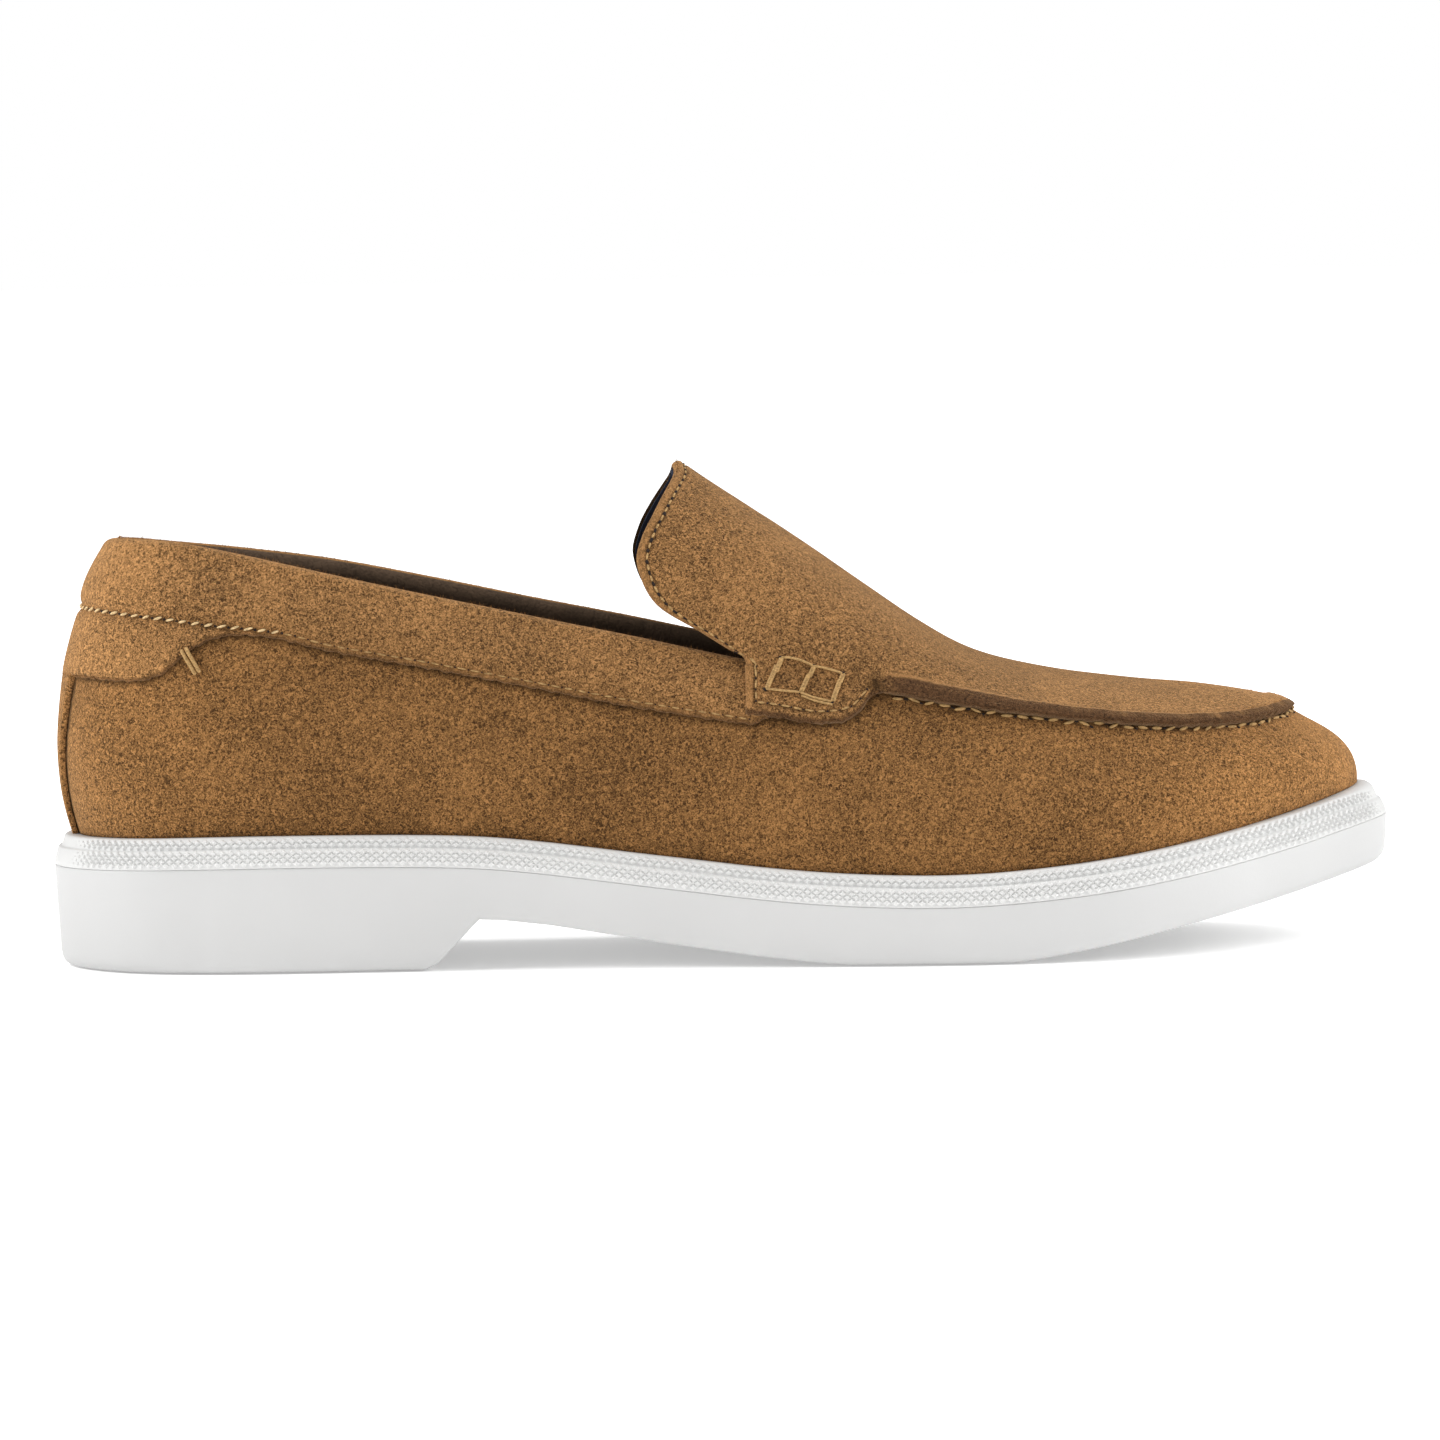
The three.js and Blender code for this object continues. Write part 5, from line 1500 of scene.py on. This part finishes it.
def build_tab_stitches():
    """A box stitch of three double bars and thin loops on each tab, and a line along the tab's edge."""
    upper = [(8.341, 67.2), (8.632, 65.3), (8.893, 63.5)]
    lower = [(8.19, 59.5), (8.50, 59.1), (8.783, 57.1)]
    rows, pin_rows = [], []

    def bow(a, b, rise, lateral, lift=0.35):
        """A thread from a to b, each a station and a height; it bows up by rise and dips at its ends."""
        k = np.linspace(0, 1, 24)
        s = a[0] + (b[0] - a[0]) * k
        z = a[1] + (b[1] - a[1]) * k + rise * np.sin(math.pi * k)
        return tab_point(s, z, lift - 0.5 * np.abs(2 * k - 1) ** 6, lateral)[0]

    for side, lateral in (("lateral", True), ("medial", False)):
        bars = [
            bow((a[0] + gap, a[1]), (b[0] + gap, b[1]), 0.0, lateral)
            for a, b in zip(upper, lower) for gap in (0.0, 0.02)
        ]
        loops = [bow(a, b, rise, lateral) for a, b, rise in zip(upper[:-1], upper[1:], (0.5, 0.15))]
        loops += [bow(a, b, -0.25, lateral) for a, b in zip(lower[:-1], lower[1:])]
        a, b = ((point[0] + 0.01, point[1] - 0.6) for point in lower[1:])
        loops.append(bow(a, b, -0.3, lateral, 0.25))
        radii = [0.33] * len(bars) + [0.27] * len(loops)
        obj = tube("box_stitch_" + side, bars + loops, radii, material("thread"))
        face_outwards(obj)
        settle(obj, "thread", "tab_stitch_" + side)
        spots = np.array([point for bar in zip(upper, lower) for point in bar])
        at, facing = tab_point(spots[:, 0], spots[:, 1], -0.02, lateral)
        pin_rows.append((at, unit(np.cross(facing, np.array([0, 0, 1.0]))), facing, 1.0))
        s = np.concatenate([
            np.full(24, 8.1), np.linspace(8.1, 8.7, 40)[1:], np.linspace(8.7, 9.1, 30)[1:],
        ])
        low = curve_through(TAB_LOW, s) + 2.3
        z = np.concatenate([np.linspace(67.5, low[0], 24), low[24:]])
        path, facing = tab_point(s, z, -0.22, lateral)
        points, along, normals = evenly(path, facing, STITCH_PITCH)
        rows.append((points, along, normals, 1.0))
        pin_rows.append((points + along * STITCH_PITCH / 2, along, normals, 0.5))
    obj = repeat_along("tab_stitches", rows, "thread", material("thread"), (1.9, 0.5, 0.5), 0.12, 0.1, 12)
    settle(obj, "thread")
    # Painted shade: near-black beads in the holes of the box stitches and the tab's edge stitches.
    obj = repeat_along("tab_holes", pin_rows, "thread", material("hole"), (1.1, 1.0, 0.3), 0.15, 0.1, 13)
    settle(obj, "lining")


def build_bartacks():
    """Two short cords over each notch of the collar band."""
    for side, lateral in (("lateral", True), ("medial", False)):
        cords = []
        for shift in (-0.5, 0.5):
            k = np.linspace(0, 1, 24)
            s = 2.42 + 0.19 * k + shift * 0.045
            z = 71.6 - 5.2 * k + shift * 0.5
            s = s if lateral else COUNT - s
            lift = 1.9 - 1.3 * smoothstep(k, 0.15, 0.8) + 0.35 - 0.5 * np.abs(2 * k - 1) ** 6
            cords.append(on_wall(s, z, lift)[0])
        obj = tube("bartack_cords_" + side, cords, [0.44] * len(cords), material("thread"))
        face_outwards(obj)
        settle(obj, "thread", "bartack_" + side)


def build_fibres():
    """Stray fibres along the cut edges and crests of apron, tongue and collar."""
    generator = np.random.default_rng(12)
    runs = []

    def scatter(path, facing, count, size):
        at = generator.uniform(0, len(path) - 1.001, count)
        i = at.astype(int)
        f = (at - i)[:, None]
        points = path[i] * (1 - f) + path[i + 1] * f
        normals = unit(facing[i] + generator.normal(0, 0.45, (count, 3)))
        sizes = size * generator.uniform(0.5, 1.2, count)
        runs.append((points, np.cross(normals, [0.1, 0.2, 1.0]), normals, sizes))

    s = np.concatenate([np.linspace(9.5, 14.5, 600), np.linspace(COUNT - 14.5, COUNT - 9.5, 600)])
    t = np.full(len(s), 0.996)
    facing = wall_normal(s, t)
    lip = wall(s, t) + facing * 2.6 + np.array([0, 0, 1.4])
    scatter(lip, unit(facing + np.array([0, 0, 0.8])), 1300, 0.8)
    s = np.linspace(-8, 8, 1200)
    rim = rim_arc(s % COUNT, 2.95, np.array([86.0]))[:, 0]
    up = np.tile(np.array([[0, 0, 1.0]]), (len(s), 1))
    scatter(rim, up, 1100, 0.9)
    s = np.linspace(-8, 8, 2400)
    level = curve_through(COLLAR_LOW, np.abs(s)) + 0.4
    path, facing = on_wall(s % COUNT, level, np.full(len(s), 1.3))
    scatter(path, unit(facing - np.array([0, 0, 0.9])), 2600, 0.75)
    path, facing = tongue_path(0.35)
    scatter(path + facing * 1.5, facing, 420, 0.8)
    length = size_of("fibre_length")
    obj = repeat_along("stray_fibres", runs, "hair", material("suede"), (0.09, 0.09, length), 0.1, 0.3, 14)
    settle(obj, "suede")


# ---- Studio ----
def soft_light(name, place, aim, size, power):
    data = bpy.data.lights.new(name, "AREA")
    data.shape = "DISK"
    data.size = size
    data.energy = power
    lamp = bpy.data.objects.new(name, data)
    lamp.location = place
    lamp.rotation_euler = (Vector(aim) - Vector(place)).to_track_quat("-Z", "Y").to_euler()
    bpy.context.scene.collection.objects.link(lamp)
    return lamp


def floor_finish():
    """White floor that stays white, shows soft contact shadows and is clear from below."""
    paint = Paint("studio_floor", (0.9, 0.9, 0.9), roughness=0.95, specular=0.0)
    paint.surface.inputs["Emission Color"].default_value = (1, 1, 1, 1)
    apart = paint.node("ShaderNodeVectorMath")
    apart.operation = "LENGTH"
    paint.feed(apart.inputs[0], paint.place)
    glow = paint.span(apart.outputs["Value"], 0.2, 0.6, 0.25, 1.0)
    paint.feed(paint.surface.inputs["Emission Strength"], glow)
    below = paint.node("ShaderNodeNewGeometry").outputs["Backfacing"]
    clear = paint.node("ShaderNodeBsdfTransparent")
    both = paint.node("ShaderNodeMixShader")
    paint.feed(both.inputs[0], below)
    paint.feed(both.inputs[1], paint.surface.outputs[0])
    paint.feed(both.inputs[2], clear.outputs[0])
    paint.feed(paint.tree.nodes["Material Output"].inputs["Surface"], both.outputs[0])
    return paint.material


def build_studio():
    """White floor and surround, three soft lamps and the camera."""
    scene = bpy.context.scene
    studio = scene.moccasin_studio
    scene.view_settings.view_transform = "Standard"
    scene.view_settings.look = "None"
    world = bpy.data.worlds.new("surround")
    scene.world = world
    world.use_nodes = True
    ground = world.node_tree.nodes["Background"]
    ground.inputs["Color"].default_value = (1, 1, 1, 1)
    path = world.node_tree.nodes.new("ShaderNodeLightPath")
    level = world.node_tree.nodes.new("ShaderNodeMapRange")
    level.inputs["To Min"].default_value = studio.surround
    level.inputs["To Max"].default_value = 1.0
    world.node_tree.links.new(path.outputs["Is Camera Ray"], level.inputs["Value"])
    world.node_tree.links.new(level.outputs["Result"], ground.inputs["Strength"])
    bpy.ops.mesh.primitive_plane_add(size=40, location=(0, 0, -0.0002))
    floor = bpy.context.object
    floor.name = "studio_floor"
    floor.data.materials.append(floor_finish())
    lamps = [soft_light("overhead", (0.0, 0.45, 1.5), (0, 0, 0.05), 1.2, studio.key_power)]
    for name, end in (("heel_side", -1), ("toe_side", 1)):
        place, aim = (1.2 * end, -0.18, 0.88), (0.05 * end, 0, 0.05)
        lamps.append(soft_light(name, place, aim, 1.1, studio.side_power))
    turn, tip, roll = math.radians(3.0), math.radians(4.0), math.radians(-1.0)
    sight = Vector((math.sin(turn) * math.cos(tip), math.cos(turn) * math.cos(tip), -math.sin(tip)))
    camera_data = bpy.data.cameras.new("camera")
    camera_data.lens = studio.lens
    camera_data.sensor_width = 36
    camera_data.clip_start = 0.05
    camera = bpy.data.objects.new("camera", camera_data)
    middle = Vector((0, 0, 0.0517))
    camera.location = middle - sight * studio.distance
    upright = sight.to_track_quat("-Z", "Y").to_matrix()
    camera.rotation_euler = (upright @ Matrix.Rotation(roll, 3, "Z")).to_euler()
    scene.collection.objects.link(camera)
    scene.camera = camera


# ---- The add-on ----
class MOCCASIN_OT_sole(bpy.types.Operator):
    """Builds the white sole unit and its studded two-tier rim"""

    bl_idname = "moccasin.sole"
    bl_label = "Sole"

    def execute(self, context):
        build_sole()
        build_rim()
        return {"FINISHED"}


class MOCCASIN_OT_wall(bpy.types.Operator):
    """Builds the suede wall of vamp and quarters and the strip over the heel seam"""

    bl_idname = "moccasin.wall"
    bl_label = "Wall"

    def execute(self, context):
        build_wall()
        build_back_strip()
        return {"FINISHED"}


class MOCCASIN_OT_collar(bpy.types.Operator):
    """Builds the padded collar with its strip rolled over the topline"""

    bl_idname = "moccasin.collar"
    bl_label = "Collar"

    def execute(self, context):
        build_collar()
        build_collar_foam()
        return {"FINISHED"}


class MOCCASIN_OT_apron(bpy.types.Operator):
    """Builds apron, tongue and side tabs in one skin"""

    bl_idname = "moccasin.apron"
    bl_label = "Apron and tongue"

    def execute(self, context):
        build_apron()
        return {"FINISHED"}


class MOCCASIN_OT_linings(bpy.types.Operator):
    """Builds the linings of tongue, quarters and vamp"""

    bl_idname = "moccasin.linings"
    bl_label = "Linings"

    def execute(self, context):
        build_tongue_lining()
        build_quarter_lining()
        build_vamp_lining()
        return {"FINISHED"}


class MOCCASIN_OT_insole(bpy.types.Operator):
    """Builds footbed, heel cushion and sock, and finishes the hidden stiffeners"""

    bl_idname = "moccasin.insole"
    bl_label = "Insole"

    def execute(self, context):
        build_insole()
        return {"FINISHED"}


class MOCCASIN_OT_stitches(bpy.types.Operator):
    """Sews the seams, the box stitches of the tabs and the bartacks"""

    bl_idname = "moccasin.stitches"
    bl_label = "Stitching"

    def execute(self, context):
        build_seam_stitches()
        build_collar_stitches()
        build_tongue_stitches()
        build_tab_stitches()
        build_bartacks()
        return {"FINISHED"}


class MOCCASIN_OT_fibres(bpy.types.Operator):
    """Adds the stray fibres along the cut edges and crests of the suede"""

    bl_idname = "moccasin.fibres"
    bl_label = "Stray fibres"

    def execute(self, context):
        build_fibres()
        return {"FINISHED"}


class MOCCASIN_OT_studio(bpy.types.Operator):
    """Sets the white studio, its soft lights and the camera"""

    bl_idname = "moccasin.studio"
    bl_label = "Studio"

    def execute(self, context):
        build_studio()
        return {"FINISHED"}


OPERATORS = (
    MOCCASIN_OT_sole, MOCCASIN_OT_wall, MOCCASIN_OT_collar, MOCCASIN_OT_apron, MOCCASIN_OT_linings,
    MOCCASIN_OT_insole, MOCCASIN_OT_stitches, MOCCASIN_OT_fibres, MOCCASIN_OT_studio,
)


GROUPS = (
    (MoccasinColours, "moccasin_colours"),
    (MoccasinSizes, "moccasin_sizes"),
    (MoccasinStudio, "moccasin_studio"),
)


class MOCCASIN_PT_panel(bpy.types.Panel):
    """Lists the pieces and their settings"""

    bl_idname = "MOCCASIN_PT_panel"
    bl_label = "Moccasin"
    bl_space_type = "VIEW_3D"
    bl_region_type = "UI"
    bl_category = "Moccasin"

    def draw(self, context):
        for operator in OPERATORS:
            self.layout.operator(operator.bl_idname)
        for _, key in GROUPS:
            group, box = getattr(context.scene, key), self.layout.box()
            for name in group.bl_rna.properties.keys():
                if name not in ("rna_type", "name"):
                    box.prop(group, name)


def register():
    for group, name in GROUPS:
        bpy.utils.register_class(group)
        setattr(bpy.types.Scene, name, PointerProperty(type=group))
    for known in (*OPERATORS, MOCCASIN_PT_panel):
        bpy.utils.register_class(known)


def unregister():
    for known in reversed((*OPERATORS, MOCCASIN_PT_panel)):
        bpy.utils.unregister_class(known)
    for group, name in reversed(GROUPS):
        delattr(bpy.types.Scene, name)
        bpy.utils.unregister_class(group)


def main():
    register()
    bpy.ops.moccasin.sole()
    bpy.ops.moccasin.wall()
    bpy.ops.moccasin.collar()
    bpy.ops.moccasin.apron()
    bpy.ops.moccasin.linings()
    bpy.ops.moccasin.insole()
    bpy.ops.moccasin.stitches()
    bpy.ops.moccasin.fibres()
    bpy.ops.moccasin.studio()


if __name__ == "__main__":
    main()
